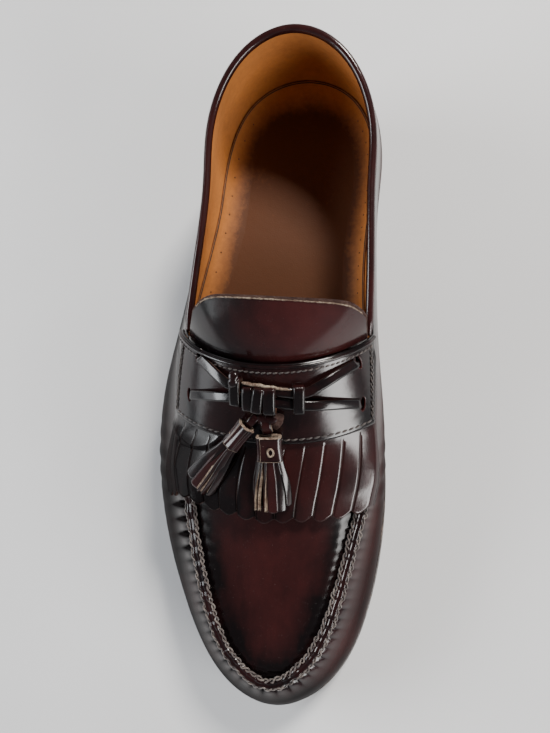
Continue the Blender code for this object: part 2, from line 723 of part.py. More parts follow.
def build_tassel(name, head_x, head_y, tip_x, tip_y, head, fringe, collection):
    """Neck, rolled head and a skirt cut into strips, as one open tube with a wall."""
    length = math.hypot(tip_x - head_x, tip_y - head_y)
    direction = ((tip_x - head_x) / length, (tip_y - head_y) / length)
    profile = ((0.0, 1.3, 1.3), (0.05, 1.3, 1.3), (0.09, head * 0.8, 2.8), (0.14, head, 3.2),
               (0.36, head, 3.2), (0.42, head * 1.0, 3.0), (0.60, 0.55 * (head + fringe), 2.8),
               (0.80, 0.8 * fringe + 0.2 * head, 2.6), (1.0, fringe, 2.3))
    angle = []
    for strip in range(TASSEL_STRIPS):
        for offset in (0.05, 0.5, 0.95):
            angle.append(2.0 * math.pi * (strip + offset) / TASSEL_STRIPS)
    angle = np.array(angle)
    rows = []
    for ratio, wide, tall in profile:
        x = head_x + (tip_x - head_x) * ratio
        y = head_y + (tip_y - head_y) * ratio
        centre, along, side, up = local_axes(x, y, TASSEL_LIFT, direction)
        rows.append(centre + np.cos(angle)[:, None] * wide * side + np.sin(angle)[:, None] * tall * up)
    points = np.stack(rows, axis=1)
    band = 5

    def keep(row, column):
        return column < band or row % 3 != 2

    bm = bmesh.new()
    add_grid(bm, points, closed=True, keep=keep)
    return add_piece(finish_mesh(bm, name), "burgundy", collection, TASSEL_WALL)


def main():
    """Build the shoe."""
    clear_scene()
    collection = bpy.data.collections.new("tassel_loafer")
    bpy.context.scene.collection.children.link(collection)
    plate("outsole", welt_ledge, OUTSOLE_THICKNESS, OUTSOLE_THICKNESS, "sole_edge", collection)
    build_welt(collection)
    plate("insole", lambda places: np.full(len(places), -INSOLE_MARGIN),
          OUTSOLE_THICKNESS + GAP + INSOLE_THICKNESS, INSOLE_THICKNESS, "lining", collection)
    build_heel_layer("heel", TOP_LIFT + GAP, HEEL_RISE - GAP, HEEL_INSET, "sole_edge", collection)
    build_heel_layer("top_lift", 0.0, TOP_LIFT, HEEL_INSET, "heel_rubber", collection)
    build_upper(collection)
    build_tongue(collection)
    build_kiltie(collection)
    build_saddle(collection)
    build_moc_ridge(collection)
    build_binding(collection)
    build_lace(collection)
    for name, x, y in KEEPERS:
        build_keeper(name, x, y, collection)
    build_knot(collection)
    for row in TASSELS:
        build_tassel(*row, collection)


main()
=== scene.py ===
"""Looks of a tassel loafer, right shoe: toe along -Y, medial side along +X, standing on Z = 0.

Every surface is worked out from one skin, the last, which repeats the stations of the model that
the frame holds. Sizes are in millimetres on the last and are turned into metres when a mesh is
written. A place on the last is a station from 0 at the heel to 1 at the toe, and across from 0 at
the lateral edge line to 1 at the medial one.
"""

from __future__ import annotations

import logging
import math
from dataclasses import dataclass, field
from enum import Enum
from typing import Protocol, Sequence

import bmesh
import bpy
import numpy as np
from mathutils import Matrix, Vector

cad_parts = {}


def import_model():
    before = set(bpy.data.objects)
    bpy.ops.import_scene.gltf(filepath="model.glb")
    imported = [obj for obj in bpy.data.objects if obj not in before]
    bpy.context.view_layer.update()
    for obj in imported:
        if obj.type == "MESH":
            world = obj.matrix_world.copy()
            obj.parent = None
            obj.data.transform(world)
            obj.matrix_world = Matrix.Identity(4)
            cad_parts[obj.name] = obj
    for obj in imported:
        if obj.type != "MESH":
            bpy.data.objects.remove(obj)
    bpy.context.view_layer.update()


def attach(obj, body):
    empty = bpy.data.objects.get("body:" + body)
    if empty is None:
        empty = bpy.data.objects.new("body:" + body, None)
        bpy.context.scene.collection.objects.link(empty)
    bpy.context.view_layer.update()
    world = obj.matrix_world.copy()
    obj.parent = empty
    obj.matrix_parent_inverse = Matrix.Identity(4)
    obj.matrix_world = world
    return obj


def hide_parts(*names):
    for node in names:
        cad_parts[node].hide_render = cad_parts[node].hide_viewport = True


LOG = logging.getLogger("loafer")
MM = 0.001
PI = math.pi
SHIFT = np.array([-1.031, 2.367, 0.0])
BODY = "root"
UP = np.array([0.0, 0.0, 1.0])
Array = np.ndarray
Arrays = tuple[Array, ...]
Piece = bpy.types.Object
Finish = bpy.types.Material
Socket = bpy.types.NodeSocket
Pair = tuple[float, float]
Triple = tuple[float, float, float]


class Face(Enum):
    """Material slot of a sheet's faces."""

    TOP = 0
    UNDER = 1
    EDGE = 2


class Side(Enum):
    """Side of the shoe; the value is the sign of X."""

    LATERAL = -1
    MEDIAL = 1


def ease(values: Array) -> Array:
    """0 below 0 and 1 above 1, with level ends: 3r^2 - 2r^3."""
    ratio = np.clip(values, 0.0, 1.0)
    return ratio * ratio * (3.0 - 2.0 * ratio)


def unit(vectors: Array) -> Array:
    """Vectors over their lengths, along the last axis."""
    return vectors / np.maximum(np.linalg.norm(vectors, axis=-1, keepdims=True), 1e-9)


def around(count: int) -> Array:
    """Angles of a circle's corners."""
    return np.linspace(0.0, 2.0 * PI, count + 1)[:-1]


def blunt(wave: Array, power: float) -> Array:
    """Wave from -1 to 1 with its tops widened by a power below 1."""
    return np.sign(wave) * np.abs(wave) ** power


def even(count: int) -> Array:
    """Even steps from 0 to 1."""
    return np.linspace(0.0, 1.0, count)


def stand(plan: Array, heights: Array | float) -> Array:
    """Points from places in plan and their heights."""
    heights = np.broadcast_to(heights, plan.shape[:-1])
    return np.concatenate([plan[..., :2], heights[..., None]], axis=-1)


def run_along(path: Array) -> Array:
    """Distance along a path at each of its points."""
    return np.concatenate([[0.0], np.cumsum(np.linalg.norm(np.diff(path, axis=0), axis=1))])


def sample(spots: Array, run: Array, values: Array) -> Array:
    """Rows of values, given along a run, at other spots of it."""
    return np.stack([np.interp(spots, run, column) for column in values.T], axis=-1)


def bezier(first: Array, second: Array, third: Array, fourth: Array, ratio: Array) -> Array:
    """Cubic Bezier curve: the Bernstein weights of four control points at each ratio."""
    rest = 1.0 - ratio
    ends = first * rest ** 3 + fourth * ratio ** 3
    return ends + 3.0 * second * rest ** 2 * ratio + 3.0 * third * rest * ratio ** 2


@dataclass
class Spline:
    """Cubic spline through rows of values, closed or with free ends."""

    knots: Array
    values: Array
    closed: bool = False
    bends: Array = field(init=False)

    def __post_init__(self) -> None:
        """Solve for the second derivatives at the knots."""
        count = len(self.knots) - 1 if self.closed else len(self.knots)
        spans = np.diff(self.knots)
        slopes = np.diff(self.values, axis=0) / spans[:, None]
        matrix = np.eye(count)
        target = np.zeros((count, self.values.shape[1]))
        for row in range(count) if self.closed else range(1, count - 1):
            before, after = spans[row - 1], spans[row]
            matrix[row, row] = 2.0 * (before + after)
            matrix[row, row - 1] = before
            matrix[row, (row + 1) % count] = after
            target[row] = 6.0 * (slopes[row] - slopes[row - 1])
        bends = np.linalg.solve(matrix, target)
        self.bends = np.vstack([bends, bends[:1]]) if self.closed else bends

    def at(self, places: Array) -> Array:
        """Values at the places.

        Args:
            places: Knot values of any shape.

        Returns:
            One row of values for each place.
        """
        cell = np.clip(np.searchsorted(self.knots, places, side="right") - 1, 0, len(self.knots) - 2)
        span = (self.knots[cell + 1] - self.knots[cell])[..., None]
        left = (self.knots[cell + 1] - places)[..., None] / span
        right = 1.0 - left
        straight = left * self.values[cell] + right * self.values[cell + 1]
        curved = (left ** 3 - left) * self.bends[cell] + (right ** 3 - right) * self.bends[cell + 1]
        return straight + curved * span ** 2 / 6.0


@dataclass
class Last:
    """Skin of the shoe. Rows: name, foot x, foot y, edge x, edge y, edge z, belly, lean."""

    heel: tuple = ("heel back", 9.0, 145.0, 9.0, 142.0, 84.0, 9.0, 84.0)
    lateral: tuple = (
        ("heel curve", -15.4, 135.0, -14.2, 131.5, 81.5, 8.0, 84.0),
        ("heel side", -25.5, 108.0, -27.6, 106.0, 74.5, 10.5, 88.0),
        ("quarter", -27.0, 78.0, -28.8, 78.0, 70.0, 13.5, 88.0),
        ("waist", -32.5, 45.0, -30.6, 45.0, 67.5, 15.5, 84.0),
        ("throat corner", -41.0, 15.0, -33.6, 15.0, 62.5, 15.0, 74.0),
        ("saddle", -47.5, -10.0, -35.2, -8.0, 57.5, 16.0, 66.0),
        ("kiltie", -50.0, -33.0, -34.6, -31.0, 51.5, 16.0, 58.0),
        ("ball", -47.6, -60.0, -29.8, -58.0, 47.0, 15.0, 48.0),
        ("joint", -41.0, -84.0, -24.4, -82.0, 45.3, 13.0, 40.0),
        ("small toe", -30.8, -107.0, -17.8, -104.0, 43.4, 12.0, 33.0),
        ("toe curve", -19.8, -128.0, -9.0, -122.5, 41.4, 9.5, 28.0),
        ("toe corner", -7.4, -142.2, 1.2, -132.2, 40.2, 7.0, 26.0),
    )
    toe: tuple = ("toe", 10.0, -148.4, 10.0, -135.2, 40.0, 5.0, 25.0)
    medial: tuple = (
        ("heel curve", 33.4, 135.0, 32.2, 131.5, 81.5, 8.0, 84.0),
        ("heel side", 43.5, 108.0, 45.4, 106.0, 74.5, 8.0, 86.0),
        ("quarter", 42.2, 78.0, 46.8, 78.0, 70.0, 8.0, 86.0),
        ("waist", 40.6, 45.0, 47.8, 45.0, 67.5, 8.0, 84.0),
        ("throat corner", 43.0, 15.0, 48.4, 15.0, 62.5, 8.5, 78.0),
        ("saddle", 47.6, -10.0, 49.2, -8.0, 57.0, 8.5, 74.0),
        ("kiltie", 51.4, -33.0, 49.6, -31.0, 51.0, 7.5, 72.0),
        ("ball", 52.8, -60.0, 46.2, -58.0, 47.0, 7.0, 64.0),
        ("joint", 51.2, -84.0, 41.2, -82.0, 45.3, 7.0, 54.0),
        ("big toe", 47.2, -106.0, 35.6, -104.0, 43.2, 7.0, 42.0),
        ("toe curve", 39.4, -127.5, 27.4, -122.5, 41.2, 6.0, 32.0),
        ("toe corner", 26.6, -142.6, 18.2, -132.0, 40.1, 5.2, 27.0),
    )
    spine: tuple = (
        ("seam apex", -135.2, 0.0, 40.0, 0.33),
        ("toe plug", -118.0, 0.5, 44.2, 0.33),
        ("small toe", -104.0, 1.0, 46.8, 0.33),
        ("joint", -82.0, 3.5, 50.8, 0.32),
        ("ball", -56.0, 7.5, 57.2, 0.30),
        ("saddle front", -20.0, 12.5, 68.8, 0.24),
        ("throat", 13.0, 18.5, 82.4, 0.20),
        ("topline", 45.0, 19.0, 96.0, 0.20),
    )
    gap: float = 0.35
    outsole: float = 5.0
    welt: float = 2.2
    toe_spring: float = 8.0
    heel_rise: float = 20.0
    flat_front_y: float = -95.0
    flat_back_y: float = -45.0
    toe_tip_y: float = -152.0
    seat_front_y: float = 70.0
    belly_rise: float = 0.40
    shoulder_reach: float = 0.36
    ring: Spline = field(init=False)
    crest: Spline = field(init=False)

    def __post_init__(self) -> None:
        """Build the splines round the shoe and along its instep."""
        lateral, medial = (run_along(np.array([row[1:3] for row in (self.heel,) + side + (self.toe,)]))
                           for side in (self.lateral, self.medial))
        stations = 0.5 * (lateral / lateral[-1] + medial / medial[-1])
        rows = (self.heel,) + self.lateral + (self.toe,) + self.medial[::-1] + (self.heel,)
        knots = np.concatenate([stations, 2.0 - stations[-2::-1]])
        self.ring = Spline(knots, np.array([row[1:] for row in rows]), closed=True)
        self.crest = Spline(np.array([row[1] for row in self.spine]),
                            np.array([row[2:] for row in self.spine]))

    def at(self, places: Array) -> Array:
        """Rows of the last at places from 0 to 2 round the shoe."""
        return self.ring.at(np.mod(np.asarray(places, dtype=float), 2.0))

    def edge(self, places: Array) -> Array:
        """Points of the edge line: seam in front, topline behind."""
        return self.at(places)[..., 2:5]

    def rise(self, y: Array) -> Array:
        """Height of the sole's underside: toe spring, flat tread, waist and heel seat."""
        reach = np.maximum(self.flat_front_y - y, 0.0) / (self.flat_front_y - self.toe_tip_y)
        waist = ease((y - self.flat_back_y) / (self.seat_front_y - self.flat_back_y))
        return self.toe_spring * reach ** 2 + self.heel_rise * waist

    def outward(self, places: Array) -> Array:
        """Unit vector in plan, square to the feather line: its tangent turned by 90 degrees."""
        turn = self.at(places + 0.002)[..., :2] - self.at(places - 0.002)[..., :2]
        return unit(np.stack([turn[..., 1], -turn[..., 0]], axis=-1))

    def outline(self, places: Array, margin: Array | float) -> Array:
        """Feather line in plan, moved outward by the margin."""
        margins = np.broadcast_to(np.asarray(margin, dtype=float), np.shape(places))
        return self.at(places)[..., :2] + self.outward(places) * margins[..., None]

    def ledge(self, places: Array) -> Array:
        """How far the sole stands out: 2.0 mm at the heel, 3.7 mm round the forepart."""
        station = np.minimum(places, 2.0 - places)
        return 2.0 + 1.7 * ease((station - 0.25) / 0.25)

    def wall(self, places: Array, heights: Array) -> Array:
        """Side of the upper: a Bezier from the feather line, 0, to the edge line, 1."""
        row = self.at(places)
        outward = self.outward(places)
        base = self.rise(row[..., 1]) + self.outsole + self.welt + 2.0 * self.gap
        foot = stand(row, base)
        edge = row[..., 2:5]
        lean = np.radians(row[..., 6:7])
        rise = edge[..., 2:3] - foot[..., 2:3]
        reach = self.shoulder_reach * np.linalg.norm(edge - foot, axis=-1, keepdims=True)
        low = foot + np.concatenate([outward * row[..., 5:6], self.belly_rise * rise], axis=-1)
        high = edge + np.concatenate([outward * reach * np.cos(lean), -reach * np.sin(lean)], axis=-1)
        return bezier(foot, low, high, edge, np.asarray(heights)[..., None])

    def wall_normals(self, places: Array, heights: Array) -> Array:
        """Unit normals of the wall, from the cross product of its two tangents."""
        step = 0.002
        by_place = self.wall(places + step, heights) - self.wall(places - step, heights)
        by_height = self.wall(places, heights + step) - self.wall(places, heights - step)
        return unit(np.cross(by_place, by_height))

    def arch(self, stations: Array, across: Array) -> Array:
        """Instep and plug: Bezier rows between the edge lines, bowed towards the toe."""
        lateral = self.edge(stations)
        medial = self.edge(2.0 - stations)
        middle = 0.5 * (lateral + medial)
        spine = self.crest.at(middle[..., 1])
        lift = (spine[..., 1] - middle[..., 2]) * 4.0 / 3.0
        reach = (medial - lateral) * spine[..., 2:3]
        rise = np.stack([np.zeros_like(lift), np.zeros_like(lift), lift], axis=-1)
        ratio = np.asarray(across, dtype=float)[..., None]
        points = bezier(lateral, lateral + reach + rise, medial - reach + rise, medial, ratio)
        points[..., 1] -= spine[..., 0] * 4.0 * (ratio * (1.0 - ratio))[..., 0]
        return points

    def skin(self, stations: Array, across: Array) -> Array:
        """Arch between across 0 and 1, and on down the walls outside that range."""
        stations, across = np.broadcast_arrays(np.asarray(stations, dtype=float), across)
        points = self.arch(stations, np.clip(across, 0.0, 1.0))
        lateral = self.wall(stations, np.clip(1.0 + across, 0.0, 1.0))
        medial = self.wall(2.0 - stations, np.clip(2.0 - across, 0.0, 1.0))
        points = np.where((across < 0.0)[..., None], lateral, points)
        return np.where((across > 1.0)[..., None], medial, points)

    def normals(self, stations: Array, across: Array) -> Array:
        """Unit normals of the skin, from the cross product of its two tangents."""
        step = 0.004
        down = self.skin(stations + step, across) - self.skin(stations - step, across)
        side = self.skin(stations, across + step) - self.skin(stations, across - step)
        return unit(np.cross(down, side))

    def lifted(self, stations: Array, across: Array, height: Array | float) -> Array:
        """Points at a height above the skin, along its normal."""
        height = np.asarray(height, dtype=float)[..., None]
        return self.skin(stations, across) + self.normals(stations, across) * height

    def station(self, y: Array | Pair | float) -> Array:
        """Station whose two edge points have this mean y."""
        stations = np.linspace(0.2, 1.0, 800)
        middle = 0.5 * (self.edge(stations)[:, 1] + self.edge(2.0 - stations)[:, 1])
        return np.interp(-np.asarray(y, dtype=float), -middle, stations)

    def find(self, plan: Array) -> Arrays:
        """Station and across of the arch over points in plan, by Newton's method.

        Args:
            plan: Points x and y, in millimetres.

        Returns:
            The stations and the across values.
        """
        stations = self.station(plan[..., 1] + 12.0)
        across = np.full(stations.shape, 0.5)
        step = 0.001
        for _ in range(12):
            here = self.arch(stations, across)[..., :2]
            by_station = (self.arch(stations + step, across)[..., :2] - here) / step
            by_across = (self.arch(stations, across + step)[..., :2] - here) / step
            miss = plan - here
            size = by_station[..., 0] * by_across[..., 1] - by_station[..., 1] * by_across[..., 0]
            first = miss[..., 0] * by_across[..., 1] - miss[..., 1] * by_across[..., 0]
            second = by_station[..., 0] * miss[..., 1] - by_station[..., 1] * miss[..., 0]
            stations = np.clip(stations + np.clip(first / size, -0.03, 0.03), 0.3, 0.98)
            across = np.clip(across + np.clip(second / size, -0.2, 0.2), 0.01, 0.99)
        return stations, across


LAST = Last()


def add_object(name: str, data: bpy.types.ID) -> Piece:
    """Put new data into the scene as an object at the origin."""
    item = bpy.data.objects.new(name, data)
    bpy.context.scene.collection.objects.link(item)
    return item


def write_mesh(name: str, points: Array, faces: Sequence, materials: Sequence, slots: Array | None = None,
               burnish_and_shade: Array | None = None, hollow: Array | None = None) -> Piece:
    """Put points in millimetres and faces into a new object at the origin.

    Args:
        name: Name of the object.
        points: Vertices, one row each, on the last.
        faces: Vertex indices of each face.
        materials: Materials of the slots.
        slots: Slot of each face.
        burnish_and_shade: Darkening of each vertex, 0 for none to 1, from burnishing and from painted shade.
        hollow: Depth in a fold or groove at each vertex, 0 to 1, where the coat is thinned to stand for
            shade.

    Returns:
        The object, shaded smooth.
    """
    mesh = bpy.data.meshes.new(name)
    mesh.from_pydata(((points + SHIFT) * MM).tolist(), [], faces)
    for material in materials:
        mesh.materials.append(material)
    if slots is not None:
        mesh.polygons.foreach_set("material_index", np.asarray(slots, dtype=np.int32))
    for key, values in (("burnish_and_shade", burnish_and_shade), ("hollow", hollow)):
        layer = mesh.attributes.new(key, "FLOAT", "POINT")
        values = np.zeros(len(points)) if values is None else np.clip(values, 0.0, 1.0)
        layer.data.foreach_set("value", values.astype(np.float32))
    mesh.validate()
    mesh.shade_smooth()
    return add_object(name, mesh)


def quads(index: Array) -> Array:
    """Cells of a grid of indices: (i, j), (i, j + 1), (i + 1, j + 1), (i + 1, j)."""
    corners = (index[..., :-1, :-1], index[..., :-1, 1:], index[..., 1:, 1:], index[..., 1:, :-1])
    return np.stack(corners, axis=-1)


def grid_cells(rows: int, columns: int, closed: bool = False) -> Array:
    """Corner indices of a grid's cells; the rows close into a ring on request."""
    index = np.arange(rows * columns).reshape(rows, columns)
    if closed:
        index = np.vstack([index, index[:1]])
    return quads(index)[..., [0, 3, 2, 1]]


@dataclass
class Sheet:
    """Leather of a thickness on a grid, closed by a half-round rim.

    The top face is the grid moved along its normals by the thickness. The rim's cross-section is
    the half ellipse edge + outward * bulge * sin(t) + normal * thickness * cos(t).
    """

    name: str
    under: Array
    normals: Array
    thickness: Array | float
    materials: Sequence
    keep: Array | None = None
    closed: bool = False
    bulge: float = 0.5
    burnish_and_shade: Array | None = None
    hollow: Array | None = None

    def build(self) -> Piece:
        """Return the sheet as one closed mesh."""
        rows, columns = self.under.shape[:2]
        thick = np.broadcast_to(np.asarray(self.thickness, dtype=float), (rows, columns))
        top = self.under + self.normals * thick[..., None]
        cells = grid_cells(rows, columns, self.closed)
        keep = np.ones(cells.shape[:2], dtype=bool) if self.keep is None else self.keep
        cells = cells[keep]
        count = rows * columns
        points = [top.reshape(-1, 3), self.under.reshape(-1, 3)]
        edges = np.concatenate([np.stack([cells[:, i], cells[:, (i + 1) % 4]], axis=1) for i in range(4)])
        key = np.sort(edges, axis=1)
        _, first, seen = np.unique(key[:, 0] * count + key[:, 1], return_index=True, return_counts=True)
        rim = edges[first[seen == 1]]
        faces = [cells, cells[:, ::-1] + count]
        slots = [np.full(len(cells), Face.TOP.value), np.full(len(cells), Face.UNDER.value)]
        if len(rim):
            extra, rim_faces = self._rim(rim, top.reshape(-1, 3), thick.ravel(), count)
            points.append(extra)
            faces.append(rim_faces)
            slots.append(np.full(len(rim_faces), Face.EDGE.value))
        rest = len(np.concatenate(points)) - 2 * count
        layers = []
        for values, rim_value in ((self.burnish_and_shade, 0.75), (self.hollow, 0.0)):
            layer = np.broadcast_to(0.0 if values is None else values, (rows, columns)).ravel()
            layers.append(np.concatenate([layer, layer, np.full(rest, rim_value)]))
        return self._tidy(np.concatenate(points), np.concatenate(faces), np.concatenate(slots), layers)

    def _rim(self, rim: Array, top: Array, thick: Array, count: int) -> Arrays:
        """Points and faces of the half-round rim along the open edges."""
        run = top[rim[:, 1]] - top[rim[:, 0]]
        normals = self.normals.reshape(-1, 3)
        push = np.cross(run, normals[rim[:, 0]] + normals[rim[:, 1]])
        outward = np.zeros_like(top)
        np.add.at(outward, rim[:, 0], unit(push))
        np.add.at(outward, rim[:, 1], unit(push))
        used = np.unique(rim)
        outward = unit(outward[used])
        turns = np.array([0.25, 0.5, 0.75]) * PI
        middle = top[used] - normals[used] * thick[used, None] * 0.5
        half = thick[used, None] * 0.5
        rings = [middle + outward * half * 2.0 * self.bulge * math.sin(t) + normals[used] * half * math.cos(t)
                 for t in turns]
        where = np.full(count, -1)
        where[used] = np.arange(len(used))
        start, stop = rim[:, 0], rim[:, 1]
        levels = [(start, stop)]
        for level in range(len(turns)):
            base = 2 * count + level * len(used)
            levels.append((base + where[start], base + where[stop]))
        levels.append((start + count, stop + count))
        faces = [np.stack([a[1], a[0], b[0], b[1]], axis=1) for a, b in zip(levels[:-1], levels[1:])]
        return np.concatenate(rings), np.concatenate(faces)

    def _tidy(self, points: Array, faces: Array, slots: Array, layers: Sequence[Array]) -> Piece:
        """Drop the points that no face uses and write the mesh."""
        used, new = np.unique(faces, return_inverse=True)
        faces = new.reshape(faces.shape).tolist()
        burnish_and_shade, hollow = (layer[used] for layer in layers)
        return write_mesh(self.name, points[used], faces, self.materials, slots, burnish_and_shade, hollow)


def path_frames(path: Array, up: Array, closed: bool = False) -> Arrays:
    """Along, side and up vectors at the points of a path, each square to the others.

    Args:
        path: Points of the path.
        up: Rough up vectors at the points.
        closed: Whether the last point runs on to the first.

    Returns:
        Unit vectors along the path, to its left, and up.
    """
    if closed:
        along = unit(np.roll(path, -1, axis=0) - np.roll(path, 1, axis=0))
    else:
        along = unit(np.gradient(path, axis=0))
    side = unit(np.cross(up, along))
    return along, side, unit(np.cross(along, side))


def tube(name: str, path: Array, up: Array, wide: Array, tall: Array, material: Finish,
         closed: bool = False, burnish_and_shade: float = 0.0, profile: Array | None = None) -> Piece:
    """Tube with an oval or given cross-section and flat ends along a path.

    Args:
        name: Name of the object.
        path: Points of the centre line, in millimetres.
        up: Up vectors at the points.
        wide: Half widths at the points.
        tall: Half heights at the points.
        material: Finish of the tube.
        closed: Whether the path is a ring.
        burnish_and_shade: Darkening of the finish.
        profile: Side and up ratios of the cross-section at each path point and corner.

    Returns:
        The tube as an object.
    """
    count = len(path)
    wide = np.broadcast_to(wide, (count,)).astype(float)
    tall = np.broadcast_to(tall, (count,)).astype(float)
    if profile is None:
        turn = around(12)
        profile = np.broadcast_to(np.stack([np.cos(turn), np.sin(turn)], axis=1), (count, 12, 2))
    scaled = profile * np.stack([wide, tall], axis=1)[:, None]
    points, faces = sweep(path, up, scaled, closed)
    tone = np.full(len(points), burnish_and_shade)
    return write_mesh(name, points, faces, [material], burnish_and_shade=tone)


def sweep(path: Array, up: Array, profile: Array, closed: bool = False) -> tuple[Array, list]:
    """Carry a cross-section along a path.

    Args:
        path: Points of the path.
        up: Up vectors at the points.
        profile: Side and up offsets in millimetres, for each path point and corner.
        closed: Whether the path is a ring.

    Returns:
        The points and the faces, with flat ends where the path is open.
    """
    _, side, up = path_frames(path, up, closed)
    count, corners = profile.shape[:2]
    points = path[:, None] + side[:, None] * profile[..., :1] + up[:, None] * profile[..., 1:]
    index = np.arange(count * corners).reshape(count, corners)
    index = np.hstack([index, index[:, :1]])
    if closed:
        index = np.vstack([index, index[:1]])
    faces = quads(index).reshape(-1, 4).tolist()
    if not closed:
        faces.append(index[0, :-1][::-1].tolist())
        faces.append(index[-1, :-1].tolist())
    return points.reshape(-1, 3), faces


def chain(name: str, path: Array, up: Array, loop: float, spread: float, radius: float,
          material: Finish, seed: int = 1) -> Piece:
    """Two strands of thread that cross once for each stitch, as a row of long loops.

    A strand's side offset is spread * sin(pi t) and its height spread * 0.55 * cos(pi t), with t
    the number of stitches so far; slow random waves make the loops uneven.

    Args:
        name: Name of the object.
        path: Points of the seam line, in millimetres.
        up: Up vectors at the points.
        loop: Length of a stitch.
        spread: Half width of the row.
        radius: Radius of a strand.
        material: Finish of the thread.
        seed: Seed of the uneven loops.

    Returns:
        Both strands as one object.
    """
    run = run_along(path)
    steps = max(int(run[-1] / loop), 1) * 7 + 1
    spots = np.linspace(0.0, run[-1], steps)
    centre = sample(spots, run, path)
    lift = unit(sample(spots, run, up))
    _, side, lift = path_frames(centre, lift)
    random = np.random.default_rng(seed)
    knots = np.arange(0.0, run[-1] + 2.0 * loop, loop)
    uneven = np.interp(spots, knots, random.uniform(0.75, 1.25, len(knots)))[:, None]
    drift = np.interp(spots, knots, random.uniform(-0.15, 0.15, len(knots)))[:, None]
    phase = PI * (spots / loop)[:, None] + drift * 4.0
    turn = around(6)
    circle = np.stack([np.cos(turn), np.sin(turn)], axis=1) * radius
    parts, faces, count = [], [], 0
    for shift in (0.0, PI):
        strand = centre + side * spread * uneven * np.sin(phase + shift) + side * drift * spread
        strand = strand + lift * spread * 0.55 * np.cos(phase + shift)
        points, cells = sweep(strand, lift, np.broadcast_to(circle, (steps, 6, 2)))
        parts.append(points)
        faces += [[index + count for index in cell] for cell in cells]
        count += len(points)
    return write_mesh(name, np.concatenate(parts), faces, [material])


def stitches(name: str, path: Array, up: Array, pitch: float, radius: float,
             material: Finish, fill: float = 0.78, slant: float = 0.0) -> Piece:
    """Row of sewn stitches along a path.

    Each stitch is a spindle: its centre line is a low arc from hole to hole, height sin(pi r), and
    its radius swells as the square root of sin(pi r).

    Args:
        name: Name of the object.
        path: Points of the seam line, in millimetres.
        up: Up vectors at the points.
        pitch: Distance from one stitch to the next.
        radius: Radius of the thread.
        material: Finish of the thread.
        fill: Share of the pitch that a stitch covers.
        slant: Sideways lean of a stitch from end to end, in millimetres.

    Returns:
        All the stitches as one object.
    """
    _, side, up = path_frames(path, up)
    run = run_along(path)
    number = max(int(run[-1] / pitch), 1)
    rings, corners = 6, 6
    ratio = even(rings)
    spots = (np.arange(number)[:, None] + 0.5 + (ratio[None, :] - 0.5) * fill) * run[-1] / number
    centre = sample(spots, run, path)
    side = unit(sample(spots, run, side))
    up = unit(sample(spots, run, up))
    hump = np.sin(PI * ratio)[None, :, None]
    centre = centre + up * (hump - 0.35) * radius * 0.9 + side * (ratio - 0.5)[None, :, None] * slant
    swell = radius * np.sqrt(np.maximum(hump, 0.08))
    turn = around(corners)
    cosine, sine = (wave(turn)[None, None, :, None] for wave in (np.cos, np.sin))
    ring = side[:, :, None] * cosine + up[:, :, None] * sine
    points = centre[:, :, None] + ring * swell[:, :, None]
    index = np.arange(number * rings * corners).reshape(number, rings, corners)
    index = np.concatenate([index, index[..., :1]], axis=2)
    faces = quads(index).reshape(-1, 4).tolist()
    faces += index[:, 0, :-1][:, ::-1].tolist() + index[:, -1, :-1].tolist()
    return write_mesh(name, points.reshape(-1, 3), faces, [material])


def dots(name: str, centres: Array, up: Array, radius: float, material: Finish) -> Piece:
    """Small flat domes, one at each centre: six corners round a raised middle."""
    turn = around(6)
    side = unit(np.cross(up, np.array([0.0, 1.0, 0.2])))
    other = np.cross(up, side)
    ring = (centres[:, None] + side[:, None] * (np.cos(turn) * radius)[None, :, None]
            + other[:, None] * (np.sin(turn) * radius)[None, :, None])
    crown = (centres + up * radius * 0.25)[:, None]
    floor = (centres - up * radius * 0.5)[:, None]
    points = np.concatenate([ring, crown, floor], axis=1)
    base = np.arange(len(centres))[:, None] * 8
    corner = np.arange(6)
    after = (corner + 1) % 6
    high = np.stack([base + corner, base + after, base + 6 + 0 * corner], axis=-1)
    low = np.stack([base + after, base + corner, base + 7 + 0 * corner], axis=-1)
    faces = np.concatenate([high.reshape(-1, 3), low.reshape(-1, 3)]).tolist()
    return write_mesh(name, points.reshape(-1, 3), faces, [material])


